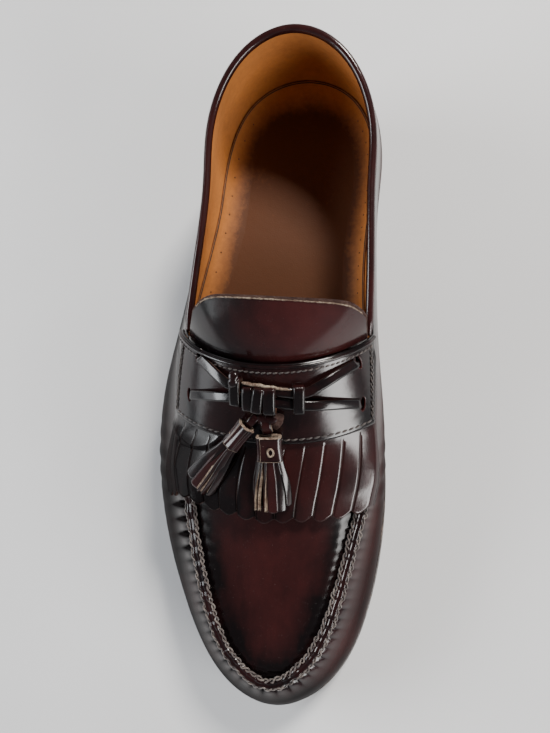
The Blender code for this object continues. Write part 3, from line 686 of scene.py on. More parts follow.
class Shader:
    """Node tree of one material, with its Principled shader."""

    def __init__(self, name: str) -> None:
        """Make the material and keep its nodes."""
        self.material = bpy.data.materials.new(name)
        self.material.use_nodes = True
        self.tree = self.material.node_tree
        self.surface = self.tree.nodes["Principled BSDF"]
        self.place = self.tree.nodes.new("ShaderNodeTexCoord").outputs["Object"]

    def fill(self, node: bpy.types.Node, inputs: dict) -> None:
        """Give a node's inputs their values, or link them to the sockets given."""
        for key, value in inputs.items():
            if isinstance(value, Socket):
                self.tree.links.new(value, node.inputs[key])
            else:
                node.inputs[key].default_value = value

    def set(self, **inputs: object) -> None:
        """Fill inputs of the Principled shader; an underscore stands for a space."""
        self.fill(self.surface, {key.replace("_", " "): value for key, value in inputs.items()})

    def node(self, kind: str, output: str | int, inputs: dict, **settings: object) -> Socket:
        """Make a node.

        Args:
            kind: Type of the node, without the words in front of it.
            output: Output to hand on.
            inputs: Values and sockets of the inputs.
            settings: Properties of the node itself.

        Returns:
            The node's output.
        """
        node = self.tree.nodes.new("ShaderNode" + kind)
        for key, value in settings.items():
            setattr(node, key, value)
        self.fill(node, inputs)
        return node.outputs[output]

    def noise(self, scale: float, detail: float = 4.0, roughness: float = 0.55,
              stretch: Triple | None = None) -> Socket:
        """Noise of a scale per metre, on Object coordinates."""
        source = self.place
        if stretch is not None:
            source = self.node("Mapping", "Vector", {"Vector": self.place, "Scale": stretch})
        return self.node("TexNoise", "Fac", {"Scale": scale, "Detail": detail, "Roughness": roughness,
                                             "Vector": source})

    def cells(self, scale: float) -> Socket:
        """Distance to the edges of Voronoi cells of a scale per metre, on Object coordinates."""
        return self.node("TexVoronoi", "Distance", {"Scale": scale, "Vector": self.place},
                         feature="DISTANCE_TO_EDGE")

    def tone(self, name: str = "burnish_and_shade") -> Socket:
        """One of the piece's own attributes."""
        return self.node("Attribute", "Fac", {}, attribute_name=name)

    def spread(self, source: Socket, low: float, high: float, first: float = 0.0,
               last: float = 1.0) -> Socket:
        """Map a value from low..high to first..last, clamped."""
        return self.node("MapRange", "Result", {"Value": source, "From Min": low, "From Max": high,
                                                "To Min": first, "To Max": last})

    def sums(self, how: str, first: Socket, second: Socket | float, clamp: bool = False) -> Socket:
        """Math node of two values."""
        return self.node("Math", 0, {0: first, 1: second}, operation=how, use_clamp=clamp)

    def blend(self, factor: Socket, first: Triple | Socket, second: Triple | Socket) -> Socket:
        """Mix two colours, each a value or a socket."""
        colours = [(*colour, 1.0) if isinstance(colour, tuple) else colour for colour in (first, second)]
        return self.node("Mix", 2, {0: factor, 6: colours[0], 7: colours[1]}, data_type="RGBA")

    def bump(self, layers: Sequence[tuple[Socket, float, float]]) -> None:
        """Chain bumps into the normal: each layer is a height, its strength and its depth in metres."""
        below: dict = {}
        for height, strength, depth in layers:
            inputs = {"Strength": strength, "Distance": depth, "Height": height, **below}
            below = {"Normal": self.node("Bump", "Normal", inputs)}
        self.set(Coat_Normal=below["Normal"], **below)


@dataclass(frozen=True)
class BrushOffLeather:
    """Burgundy leather rubbed to a high gloss, near black where it is burnished and where painted shade is
    put in.
    """

    name: str = "burgundy_leather"
    red: Triple = (0.058, 0.0120, 0.0115)
    black: Triple = (0.0040, 0.0026, 0.0028)
    gloss: float = 0.42
    specular: float = 0.0
    coat: float = 0.90
    coat_gloss: float = 0.16
    dark: float = 0.0

    def material(self) -> Finish:
        """Build the shader: cloudy red to black, fine grain, small pale specks."""
        shader = Shader(self.name)
        cloud = shader.spread(shader.noise(55.0, 5.0, 0.6), 0.36, 0.68, -0.06, 0.10)
        streak = shader.spread(shader.noise(160.0, 3.0, 0.6, (1.0, 0.35, 1.0)), 0.40, 0.70, -0.05, 0.07)
        # The vertex darkening holds burnishing and painted shade; the clouds and streaks are the leather's
        # own.
        tone = shader.sums("ADD", shader.sums("ADD", shader.tone(), cloud), streak)
        tone = shader.sums("ADD", tone, self.dark, clamp=True)
        colour = shader.blend(tone, self.red, self.black)
        specks = shader.spread(shader.noise(2600.0, 1.0, 0.4), 0.765, 0.80, 0.0, 0.22)
        shine = shader.spread(shader.noise(90.0, 4.0), 0.35, 0.70, self.gloss - 0.05, self.gloss + 0.10)
        # Painted shade in the reflection: the coat thins along the hollow mask.
        coat = shader.spread(shader.tone("hollow"), 0.05, 0.80, self.coat, 0.06)
        shader.set(Base_Color=shader.blend(specks, colour, (0.30, 0.26, 0.25)), Roughness=shine,
                   Specular_IOR_Level=self.specular, Coat_Weight=coat, Coat_Roughness=self.coat_gloss)
        grain = shader.cells(1150.0)
        pores = shader.noise(2300.0, 3.0, 0.6)
        waves = shader.noise(120.0, 2.0, 0.5)
        shader.bump(((waves, 0.06, 0.0016), (grain, 0.08, 0.00012), (pores, 0.14, 0.00010)))
        return shader.material


@dataclass(frozen=True)
class RawEdge:
    """Cut leather edge, pale and fibrous."""

    name: str = "raw_edge"
    pale: Triple = (0.36, 0.295, 0.225)
    deep: Triple = (0.060, 0.030, 0.022)

    def material(self) -> Finish:
        """Build the shader: pale fibres over brown."""
        shader = Shader(self.name)
        fibre = shader.spread(shader.noise(1500.0, 6.0, 0.7), 0.36, 0.62)
        patch = shader.spread(shader.noise(180.0, 3.0), 0.36, 0.60, 0.25, 1.0)
        colour = shader.blend(shader.sums("MULTIPLY", fibre, patch), self.deep, self.pale)
        shader.set(Base_Color=colour, Roughness=0.85, Specular_IOR_Level=0.10)
        shader.bump(((shader.noise(2600.0, 5.0, 0.7), 0.7, 0.0003),))
        return shader.material


@dataclass(frozen=True)
class LiningLeather:
    """Matt tan lining, darker in clouds of wear and where painted shade is put in."""

    name: str = "lining_leather"
    tan: Triple = (0.50, 0.185, 0.045)
    wear_and_shade: Triple = (0.088, 0.033, 0.014)
    grain: float = 950.0

    def material(self) -> Finish:
        """Build the shader: soft clouds of wear, fine pores."""
        shader = Shader(self.name)
        cloud = shader.spread(shader.noise(30.0, 5.0, 0.6), 0.35, 0.68)
        mottle = shader.spread(shader.noise(420.0, 4.0, 0.6), 0.35, 0.70, 0.0, 0.16)
        factor = shader.sums("ADD", shader.sums("MULTIPLY", cloud, 0.25), mottle)
        # The vertex darkening on the lining is painted shade inside the shoe.
        factor = shader.sums("ADD", factor, shader.tone(), clamp=True)
        shader.set(Base_Color=shader.blend(factor, self.tan, self.wear_and_shade), Specular_IOR_Level=0.25,
                   Roughness=shader.spread(cloud, 0.0, 1.0, 0.58, 0.72))
        shader.bump(((shader.cells(self.grain), 0.22, 0.00022), (shader.noise(260.0, 4.0), 0.15, 0.0006)))
        return shader.material


@dataclass(frozen=True)
class EdgeDressing:
    """Waxed sole edge, with faint layers in its height."""

    name: str
    colour: Triple = (0.012, 0.009, 0.008)
    wear_and_shade: Triple = (0.055, 0.034, 0.024)
    layers: float = 0.0
    gloss: float = 0.34

    def material(self) -> Finish:
        """Build the shader: dark wax, rubbed spots and, on a stack, level lines."""
        shader = Shader(self.name)
        rub_and_shade = shader.spread(shader.noise(140.0, 5.0, 0.65), 0.52, 0.74, 0.0, 0.8)
        shine = shader.spread(shader.noise(300.0), 0.3, 0.7, self.gloss - 0.08, self.gloss + 0.14)
        shader.set(Base_Color=shader.blend(rub_and_shade, self.colour, self.wear_and_shade), Roughness=shine,
                   Specular_IOR_Level=0.30, Coat_Weight=0.15, Coat_Roughness=0.22)
        heights = [(shader.noise(900.0, 5.0, 0.6, (1.0, 1.0, 0.25)), 0.20, 0.0004)]
        if self.layers:
            inputs = {"Scale": self.layers, "Distortion": 0.4, "Vector": shader.place}
            heights.append((shader.node("TexWave", "Fac", inputs, bands_direction="Z"), 0.25, 0.0004))
        shader.bump(heights)
        return shader.material


@dataclass(frozen=True)
class Thread:
    """Twisted waxed thread."""

    name: str
    dark: Triple = (0.035, 0.022, 0.019)
    light: Triple = (0.17, 0.14, 0.122)

    def material(self) -> Finish:
        """Build the shader: light and dark strands from a fine noise."""
        shader = Shader(self.name)
        strand = shader.sums("MULTIPLY", shader.spread(shader.noise(1500.0, 3.0, 0.6), 0.36, 0.62),
                             shader.spread(shader.noise(210.0, 3.0, 0.6), 0.40, 0.62, 0.10, 1.0))
        shader.set(Base_Color=shader.blend(strand, self.dark, self.light), Roughness=0.5, Sheen_Weight=0.25)
        shader.bump(((shader.noise(3200.0, 2.0), 0.5, 0.0002),))
        return shader.material


@dataclass(frozen=True)
class PlainMatt:
    """Matt finish that clouds from one colour to another."""

    name: str
    colour: Triple
    other: Triple
    roughness: float = 0.8
    cloud: tuple = (3.0, 3.0)
    limits: tuple = (0.35, 0.65)
    grain: tuple = (900.0, 3.0)
    depth: Pair = (0.05, 0.0003)

    def material(self) -> Finish:
        """Build the shader: two colours in clouds, over a fine grain."""
        shader = Shader(self.name)
        cloud = shader.spread(shader.noise(*self.cloud), *self.limits)
        shader.set(Base_Color=shader.blend(cloud, self.colour, self.other), Roughness=self.roughness)
        shader.bump(((shader.noise(*self.grain), *self.depth),))
        return shader.material


class Look(Protocol):
    """A finish that can build its material."""

    def material(self) -> Finish:
        """Build the material."""


def made(look: Look) -> Finish:
    """Field that holds a look's material, built when the finishes are."""
    return field(default_factory=look.material)


@dataclass
class Finishes:
    """The materials, each made once."""

    leather: Finish = made(BrushOffLeather())
    dark_leather: Finish = made(BrushOffLeather("dark_leather", dark=0.45, coat_gloss=0.14))
    bound_edge: Finish = made(BrushOffLeather("bound_edge", dark=0.30, gloss=0.30))
    raw: Finish = made(RawEdge())
    dark_raw: Finish = made(RawEdge("dark_raw_edge", (0.075, 0.046, 0.038), (0.018, 0.008, 0.007)))
    lining: Finish = made(LiningLeather())
    thread: Finish = made(Thread("seam_thread"))
    dark_thread: Finish = made(Thread("saddle_thread", (0.018, 0.012, 0.011), (0.07, 0.05, 0.042)))
    edge: Finish = made(EdgeDressing("sole_edge"))
    welt: Finish = made(EdgeDressing("welt_edge", (0.020, 0.014, 0.012), (0.12, 0.085, 0.065), gloss=0.28))
    stack: Finish = made(EdgeDressing("heel_stack", layers=90.0))
    tread: Finish = made(PlainMatt(
        "tread_leather", (0.085, 0.050, 0.032), (0.23, 0.15, 0.10), 0.55,
        (220.0, 6.0, 0.7, (1.0, 0.25, 1.0)), (0.45, 0.72), (700.0, 5.0, 0.6), (0.3, 0.0004)))
    rubber: Finish = made(PlainMatt(
        "heel_rubber", (0.016, 0.016, 0.016), (0.06, 0.055, 0.05), 0.72,
        (180.0, 5.0, 0.6), (0.5, 0.8, 0.0, 0.5), (1800.0, 3.0), (0.3, 0.0002)))
    hole: Finish = made(PlainMatt("pinhole", (0.05, 0.02, 0.01), (0.09, 0.035, 0.015),
                                  cloud=(400.0, 3.0), grain=(120000.0, 3.0)))
    line: Finish = made(PlainMatt("dark_line", (0.015, 0.010, 0.008), (0.03, 0.018, 0.012),
                                  cloud=(400.0, 3.0), grain=(120000.0, 3.0)))


def hide(finishes: Finishes, rim: Finish) -> list[Finish]:
    """Materials of a leather sheet: its face, its flesh side and its rim."""
    return [finishes.leather, finishes.lining, rim]


def dress(piece: Piece, *nodes: str, slot: str = "burgundy_leather") -> None:
    """Ride a piece on the shoe, hide the nodes that it stands for and log its triangles.

    Args:
        piece: The object.
        nodes: Names of the nodes that the piece replaces.
        slot: Not used.
    """
    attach(piece, BODY)
    if nodes:
        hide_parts(*nodes)
    triangles = sum(len(polygon.vertices) - 2 for polygon in piece.data.polygons)
    LOG.info("%s: %d triangles", piece.name, triangles)


@dataclass
class SeamLine:
    """Phase of the puckers along the hand-sewn seam, one turn for each stitch."""

    toe_pitch: float = 4.3
    ball_pitch: float = 6.4
    places: Array = field(init=False)
    phase: Array = field(init=False)
    start: float = field(init=False)

    def __post_init__(self) -> None:
        """Integrate 1 / pitch along the seam; the pitch grows over the lateral ball."""
        self.start = LAST.station(-38.0)
        self.places = np.linspace(self.start, 2.0 - self.start, 1600)
        edge = LAST.edge(self.places)
        step = np.linalg.norm(np.diff(edge, axis=0), axis=1)
        lateral = ease((edge[:-1, 1] + 100.0) / 30.0) * (edge[:-1, 0] < 0.0)
        pitch = self.toe_pitch + (self.ball_pitch - self.toe_pitch) * lateral
        self.phase = np.concatenate([[0.0], np.cumsum(step / pitch)])

    def turns(self, places: Array) -> Array:
        """Number of stitches from the seam's lateral end to each place."""
        return np.interp(places, self.places, self.phase)

    def pinch(self, places: Array) -> Array:
        """0 at the crown of a pucker and 1 at its stitch, where the leather is pulled in."""
        turns = self.turns(places)
        uneven = 1.0 + 0.22 * np.sin(2.1 * turns) + 0.12 * np.sin(5.3 * turns + 1.0)
        return (1.0 - np.abs(np.sin(PI * turns)) ** 1.15) * uneven

    def fade(self, places: Array) -> Array:
        """1 along the open seam, 0 behind it."""
        station = np.minimum(places, 2.0 - places)
        return ease((station - self.start) / 0.035)


@dataclass
class Upper:
    """Vamp wall with puckers, quarters, plug and lining."""

    use: Finishes
    seam: SeamLine
    wall_rows: int = 42
    leather: float = 1.1
    wall_thickness: float = 2.0
    # Painted shade on the lower wall: a thinner coat and a darker colour.
    low_wall_shade: float = 0.70
    plug_rows: int = 190
    plug_columns: int = 80

    def wall_places(self) -> Array:
        """Places round the shoe: close together along the seam, wider behind it."""
        front = np.linspace(self.seam.start, 2.0 - self.seam.start, 820)[:-1]
        rear = np.linspace(2.0 - self.seam.start, 2.0 + self.seam.start, 260)[:-1]
        return np.mod(np.concatenate([front, rear]), 2.0)

    def wall_surface(self, places: Array, heights: Array) -> Arrays:
        """Outer face of the wall, with the skin's normals and the depth in the puckers.

        Puckers are pulled in by pinch * depth * exp(-(d / reach)^1.4), with d the distance down
        from the seam. Soft creases cross the flexing zone behind the ball.

        Args:
            places: Places round the shoe.
            heights: Heights from the feather line, 0, to the edge line, 1.

        Returns:
            Points, unit normals of the smooth skin, and depths from 0 to 1.
        """
        points = LAST.wall(places, heights)
        normals = LAST.wall_normals(places, heights)
        row = LAST.at(places)
        length = 1.15 * np.linalg.norm(row[..., 2:4] - row[..., :2], axis=-1) + 0.8 * row[..., 4]
        down = (1.0 - heights) * length * 0.8
        lateral = ease((points[..., 1] + 100.0) / 30.0) * (points[..., 0] < 0.0)
        medial = ease((points[..., 0] - 12.0) / 14.0)
        depth = 1.30 + 1.50 * lateral - 0.55 * medial
        reach = 6.0 + 7.5 * lateral
        pinch, fade = self.seam.pinch(places), self.seam.fade(places)
        dip = pinch * depth * np.exp(-(down / reach) ** 1.4) * fade
        crown = 1.0 - 0.6 * np.clip(pinch, 0.0, 1.0)
        spot = 4.5 + 1.8 * lateral
        swell = (0.50 + 0.75 * lateral) * np.exp(-((down - spot) / (3.6 + 1.6 * lateral)) ** 2)
        swell = swell * crown * fade
        flex = np.exp(-((points[..., 1] + 42.0) / 16.0) ** 2) * np.exp(-((points[..., 2] - 30.0) / 14.0) ** 2)
        crease = 0.32 * flex * np.sin(points[..., 1] * 0.62 + points[..., 2] * 0.30)
        return points + normals * (swell - dip + crease)[..., None], normals, np.clip(dip, 0.0, 1.0)

    def build(self) -> None:
        """Make the wall, the plug and the lining."""
        ring = self.wall_places()
        heights = even(self.wall_rows)
        places, levels = np.meshgrid(ring, heights, indexing="ij")
        points, normals, hollow = self.wall_surface(places, levels)
        # Painted shade: the hollow mask covers the pucker valleys, a strip under the seam and the lower wall;
        # it thins the coat and adds 0.3 of darkening.
        hollow = np.maximum(hollow, np.exp(-(1.0 - levels) / 0.025) * self.seam.fade(places))
        hollow = np.maximum(hollow, self.low_wall_shade * ease((0.86 - levels) / 0.30))
        row = LAST.at(places)
        medial = ease((row[..., 0] - 12.0) / 14.0) * ease((10.0 - row[..., 1]) / 30.0)
        # Tone: near black, darker at the top and the foot, lighter by the seam on the medial side; the
        # darkening of the lower medial wall is painted edge shadow.
        tone = 0.84 + (0.20 - 0.30 * medial) * np.exp(-(1.0 - levels) / 0.10) + 0.20 * np.exp(-levels / 0.10)
        tone = tone + 0.30 * medial * ease((0.72 - levels) / 0.25)
        tone = tone - 0.50 * ease((row[..., 0] - 15.0) / 25.0) * ease((0.90 - levels) / 0.4)
        dress(Sheet("vamp_wall", points - normals * self.leather, normals, self.leather,
                    hide(self.use, self.use.bound_edge),
                    closed=True, bulge=0.3, burnish_and_shade=tone + 0.3 * hollow, hollow=hollow).build(), "upper")
        self.build_plug()
        self.build_lining()

    def build_plug(self) -> None:
        """Make the smooth plug, pinched a little along its seam."""
        throat = LAST.station(12.5)
        ratio = even(self.plug_rows)
        rows = throat + (1.0 - throat) * (1.0 - (1.0 - ratio) ** 1.6)
        rows[-1] = 0.9995
        columns = 0.5 - 0.5 * np.cos(np.linspace(0.0, PI, self.plug_columns))
        stations, across = np.meshgrid(rows, columns, indexing="ij")
        points = LAST.arch(stations, across)
        step = 0.002
        down = LAST.arch(np.minimum(stations + step, 1.0), across) - LAST.arch(stations - step, across)
        side = LAST.arch(stations, across + step) - LAST.arch(stations, across - step)
        normals = unit(np.cross(down, side))
        width = np.linalg.norm(LAST.edge(stations) - LAST.edge(2.0 - stations), axis=-1)
        from_side = np.minimum(across, 1.0 - across) * width
        from_toe = points[..., 1] - LAST.toe[4]
        rim = np.minimum(from_side, np.abs(from_toe))
        place = np.where(across < 0.5, stations, 2.0 - stations)
        pulled, fade = self.seam.pinch(place), self.seam.fade(place)
        pinch = pulled * np.exp(-rim / 3.0) * fade
        groove = np.exp(-((rim - 3.6) / 2.2) ** 2) * fade
        points = points - normals * (0.80 * pinch + 0.35 * groove)[..., None]
        # Painted shade along the ridge of the seam, and a darker band by the lateral edge: the mask thins the
        # coat and adds 0.3 of darkening.
        dull_and_shade = 0.8 * np.exp(-(rim / 9.0) ** 2) * (0.75 + 0.25 * pulled) * fade
        lateral = (across < 0.5) * np.exp(-(from_side / 16.0) ** 2)
        dull_and_shade = np.maximum(dull_and_shade, 0.62 * lateral)
        tone = 0.50 * np.exp(-(rim / 13.0) ** 1.5) + 0.58
        dress(Sheet("plug", points - normals * self.leather, normals, self.leather,
                    hide(self.use, self.use.dark_leather),
                    burnish_and_shade=tone + 0.3 * dull_and_shade, hollow=dull_and_shade).build())

    def build_lining(self) -> None:
        """Make the lining, which shows inside the collar and under the instep."""
        ring = np.linspace(0.0, 2.0, 241)[:-1]
        heights = np.linspace(0.02, 0.985, 30)
        places, levels = np.meshgrid(ring, heights, indexing="ij")
        normals = LAST.wall_normals(places, levels)
        deeper = 1.6 * ease((10.0 - LAST.wall(places, levels)[..., 1:2]) / 20.0)
        points = LAST.wall(places, levels) - normals * (self.wall_thickness + deeper)
        # Painted shade: the lining darkens towards the toe, deep inside the shoe.
        dark = 0.85 * ease((18.0 - points[..., 1]) / 40.0)
        material = self.use.lining
        sheet = Sheet("lining", points, normals, 0.7, [material] * 3, closed=True, burnish_and_shade=dark)
        dress(sheet.build(), slot="lining_leather")
        rows = np.linspace(LAST.station(12.5), 0.995, 60)
        stations, across = np.meshgrid(rows, even(40), indexing="ij")
        under = LAST.lifted(stations, across, -self.wall_thickness)
        # Painted shade: the plug's lining, under the instep, is dark all over.
        dress(Sheet("plug_lining", under, LAST.normals(stations, across), 0.7, [material] * 3,
                    burnish_and_shade=np.full(stations.shape, 0.8)).build(), slot="lining_leather")


@dataclass
class MocSeam:
    """Raised hand-sewn seam: a scalloped ridge and two rows of thread."""

    use: Finishes
    seam: SeamLine
    half_width: float = 2.25
    half_height: float = 1.7
    stitch_offset: float = 2.15
    loop: float = 2.9
    spread: float = 0.62
    thread_radius: float = 0.36

    def build(self) -> None:
        """Make the ridge and its stitches."""
        back = LAST.station(-44.0)
        ring = np.linspace(back, 2.0 - back, 1500)
        edge = LAST.edge(ring)
        outward = LAST.outward(ring)
        up = unit(stand(outward * 0.30, 1.0))
        centre = edge + up * 0.75
        pinch = self.seam.pinch(ring)
        beat = 2.0 * PI * self.seam.turns(ring)
        wobble = 0.20 * np.sin(0.37 * beat) + 0.14 * np.sin(0.83 * beat + 1.0)
        lump = 1.0 + 0.14 * np.sin(0.29 * beat + 0.5) + 0.10 * np.sin(0.71 * beat)
        turn = around(24)
        cosine, sine = np.cos(turn), np.sin(turn)
        dent = 0.40 * np.exp(-((turn - 0.5 * PI) / 0.26) ** 2)
        scallop = 1.0 - 0.28 * pinch[:, None] * np.abs(cosine)[None] ** 2
        wide = cosine[None] * scallop
        tall = (sine * (1.0 - dent))[None] * (1.0 - 0.20 * pinch[:, None])
        profile = np.stack([wide, tall], axis=-1)
        dress(tube("moc_ridge_leather", centre, up, self.half_width, self.half_height * lump,
                   self.use.leather, burnish_and_shade=0.88, profile=profile), "moc_ridge")
        _, side, lift = path_frames(centre, up)
        for name, sign in (("outer", 1.0), ("inner", -1.0)):
            path = centre - side * sign * self.stitch_offset * (1.0 - 0.16 * pinch[:, None])
            path = path + lift * (0.75 - 0.25 * pinch[:, None]) + side * (sign * wobble)[:, None]
            dress(chain("seam_stitches_" + name, path, lift - side * sign * 0.6, self.loop, self.spread,
                        self.thread_radius, self.use.thread, 3))


@dataclass
class Saddle:
    """Strap band over the instep with its bead, slots and stitch rows."""

    use: Finishes
    kiltie: float = 1.3
    thickness: float = 1.7
    top_y: float = 14.6
    front_y: float = -20.5
    step_y: Pair = (13.0, 5.0)
    end_across: float = 0.08
    across: Pair = (0.035, 0.970)
    slots: tuple = (
        ("upper_lateral", -19.2, -0.2),
        ("lower_lateral", -24.8, -15.2),
        ("upper_medial", 40.8, 0.9),
        ("lower_medial", 43.2, -15.1),
    )
    slot_length: float = 6.2
    slot_width: float = 2.6
    knot: Pair = (6.7, -15.2)

    def base(self, stations: Array, across: Array) -> Array:
        """Height of the underside: over the kiltie, with the rear ends lower."""
        rear, front = LAST.station(self.step_y)
        forward = ease((stations - rear) / (front - rear))
        inner = ease(np.minimum(across, 1.0 - across) / self.end_across)
        return LAST.gap + (self.kiltie + LAST.gap) * np.maximum(forward, inner)

    def top(self, stations: Array, across: Array) -> Array:
        """Height of the upper face above the skin."""
        return self.base(stations, across) + self.thickness

    def face(self, stations: Array, across: Array, height: Array | float = 0.0) -> Arrays:
        """Points at a height over the upper face, and the skin's normals there."""
        level = self.top(stations, across) + height
        return LAST.lifted(stations, across, level), LAST.normals(stations, across)

    def above(self, plan: Array, height: Array | float) -> Arrays:
        """Points over the upper face at places in plan, and the skin's normals there."""
        return self.face(*LAST.find(plan), height)

    def row(self, y: float, low: float, high: float, count: int, height: float = 0.0) -> Arrays:
        """Line across the saddle's upper face, at the y of its ends, and its normals."""
        return self.face(np.full(count, LAST.station(y)), np.linspace(low, high, count), height)

    def column(self, top: float, bottom: float, high: float, low: float, count: int) -> Arrays:
        """Line down the saddle's upper face, between two across values, and its normals."""
        return self.face(LAST.station(np.linspace(high, low, count)), np.linspace(top, bottom, count))

    def build(self) -> None:
        """Make the band, its bead and its stitches."""
        rows = np.linspace(LAST.station(self.top_y), LAST.station(self.front_y), 84)
        stations, across = np.meshgrid(rows, np.linspace(*self.across, 220), indexing="ij")
        under = LAST.lifted(stations, across, self.base(stations, across))
        ends = np.minimum(across - self.across[0], self.across[1] - across)
        tone = 0.84 + 0.25 * np.exp(-ends / 0.05) + 0.2 * np.exp(-(rows[-1] - stations) / 0.01)
        sheet = Sheet("saddle_band", under, LAST.normals(stations, across), self.thickness,
                      hide(self.use, self.use.bound_edge), burnish_and_shade=tone)
        band = sheet.build()
        for name, x, y in self.slots:
            self.cut(band, name, x, y)
        dress(band, "saddle")
        self.sew()

    def cut(self, band: Piece, name: str, x: float, y: float) -> None:
        """Cut one oval slot, square to the strip that enters it, and apply the cut."""
        centre, up = self.above(np.array([[x, y]]), -0.5 * self.thickness)
        toward = np.array([[self.knot[0] - x, self.knot[1] - y, 0.0]])
        side = unit(np.cross(up, toward))
        along = np.cross(side, up)
        turn = around(32)
        ring = (along * np.cos(turn)[:, None] * 0.5 * self.slot_width
                + side * blunt(np.sin(turn), 0.8)[:, None] * 0.5 * self.slot_length)
        points = np.concatenate([centre + ring - up * 3.0, centre + ring + up * 3.0])
        index = np.arange(32)
        after = (index + 1) % 32
        faces = np.stack([index, after, after + 32, index + 32], axis=1).tolist()
        faces += [index[::-1].tolist(), (index + 32).tolist()]
        cutter = write_mesh("slot_cutter_" + name, points, faces, [self.use.bound_edge],
                            burnish_and_shade=np.ones(len(points)))
        tool = band.modifiers.new("slot", "BOOLEAN")
        tool.object = cutter
        graph = bpy.context.evaluated_depsgraph_get()
        mesh = bpy.data.meshes.new_from_object(band.evaluated_get(graph))
        band.modifiers.clear()
        band.data = mesh
        bpy.data.objects.remove(cutter, do_unlink=True)

    def sew(self) -> None:
        """Make the top bead, the stitch row under it, the front row and the chains down the sides."""
        low, high = self.across
        path, up = self.row(self.top_y - 0.4, low, high, 200, 0.1)
        dress(tube("saddle_bead", path, up, 0.75, 0.75, self.use.bound_edge, burnish_and_shade=0.65))
        rows = (("top", self.top_y - 2.6, 0.02, 2.3, 0.36, 0.35),
                ("front", self.front_y + 1.5, 0.015, 3.0, 0.42, 0.45))
        for name, y, inset, pitch, radius, slant in rows:
            path, up = self.row(y, low + inset, high - inset, 200)
            dress(stitches("saddle_stitches_" + name, path, up, pitch, radius, self.use.dark_thread,
                           0.95, slant))
        for name, top, bottom in (("lateral", low + 0.068, low + 0.012),
                                  ("medial", high - 0.030, high - 0.012)):
            path, up = self.column(top, bottom, self.top_y - 3.0, self.front_y + 1.8, 80)
            dress(chain("saddle_chain_" + name, path + up * 0.2, up, 2.4, 0.50, 0.26, self.use.dark_thread))


@dataclass
class Kiltie:
    """Fringed leather under the saddle's front edge: strips cut to points."""

    use: Finishes
    saddle: Saddle
    strips: int = 13
    top_y: float = 3.0
    band_y: float = -24.0
    tip_y: float = -55.4
    point_y: float = -58.0
    seam_back_y: float = -50.0
    spread: Pair = (0.20, 0.005)
    lift: float = 2.6
    edge_lift: float = 4.2
    slit: float = 0.010
    thickness: float = 1.3
    fold: Pair = (-22.0, -36.5)
    fold_height: float = 0.7
    columns: int = 9
    seed: int = 7

    def height(self, stations: Array, across: Array) -> Array:
        """Height of the underside: flat under the saddle, then rising over the seam."""
        start = LAST.station(self.saddle.front_y)
        end = LAST.station(self.seam_back_y + 1.0)
        edge = np.clip(np.abs(2.0 * across - 1.0), 0.0, 1.0) ** 4
        rise = self.lift + (self.edge_lift - self.lift) * edge
        return LAST.gap + rise * ease((stations - start) / (end - start))

    def build(self) -> None:
        """Make the band and its strips as one sheet."""
        band = np.linspace(LAST.station(self.top_y), LAST.station(self.band_y), 22)
        fall = even(42)[1:]
        tip = LAST.station(self.tip_y)
        point = LAST.station(self.point_y)
        place = np.linspace(-1.0, 1.0, self.columns)
        spot = np.tile(place, self.strips)[None]
        strip = np.arange(self.strips)
        random = np.random.default_rng(self.seed)
        length = random.normal(0.0, 0.0016, self.strips)
        tilt = random.normal(-0.10, 0.20, self.strips)
        curl = random.normal(0.25, 0.22, self.strips)
        ratio = ((strip[:, None] + 0.5 + place[None] * (0.5 - self.slit)) / self.strips).ravel()
        chamfer = np.interp(place, (-1.0, -0.35, 0.15, 1.0), (0.25, 1.0, 0.95, 0.0))
        end = (tip + (point - tip) * chamfer[None] + length[:, None]).ravel()
        below = band[-1] + (end[None] - band[-1]) * fall[:, None]
        stations = np.vstack([np.repeat(band[:, None], len(ratio), axis=1), below])
        fan = ease((stations - band[0]) / (tip - band[0]))
        across = -self.spread[0] * fan + (1.0 + (self.spread[0] + self.spread[1]) * fan) * ratio[None]
        free = np.concatenate([np.zeros(len(band)), fall])[:, None]
        sway = np.repeat(tilt, self.columns)[None] * spot * free ** 1.5
        rise = np.repeat(curl, self.columns)[None] * free ** 2
        dome = 0.05 * (1.0 - spot ** 2) * ease(free * 3.0)
        level = self.height(stations, across) + np.maximum(sway + rise, -0.2) + dome
        flat = LAST.skin(stations, across)
        past = flat[..., 1] - (self.fold[1] + 0.035 * (flat[..., 0] - self.fold[0]) ** 2)
        fold = np.where(past > 0.0, np.exp(-(past / 2.6) ** 2), np.exp(-(past / 0.8) ** 2))
        level = level + self.fold_height * fold * ease((-9.0 - flat[..., 0]) / 5.0)
        under = LAST.lifted(stations, across, level)
        keep = np.ones((stations.shape[0] - 1, stations.shape[1] - 1), dtype=bool)
        keep[len(band) - 1:, self.columns - 1::self.columns] = False
        tone = 0.72 + 0.22 * np.abs(np.tile(place, self.strips))[None] ** 6 * free
        # Painted shade: the lateral strips are darkened.
        tone = tone + 0.34 * ease((0.60 - across) / 0.35)
        dull_and_shade = 0.9 * np.abs(np.tile(place, self.strips))[None] ** 12 * ease(free * 4.0)
        dull_and_shade = dull_and_shade * ease((0.80 - across) / 0.2)
        # Painted shade: the coat of the lateral strips is thinned as well.
        dull_and_shade = np.maximum(dull_and_shade, 0.72 * ease((0.34 - across) / 0.25) * ease(free * 6.0))
        dress(Sheet("kiltie_fringe", under, LAST.normals(stations, across), self.thickness,
                    hide(self.use, self.use.dark_raw),
                    keep=keep, bulge=0.20, burnish_and_shade=tone, hollow=dull_and_shade).build(), "kiltie")


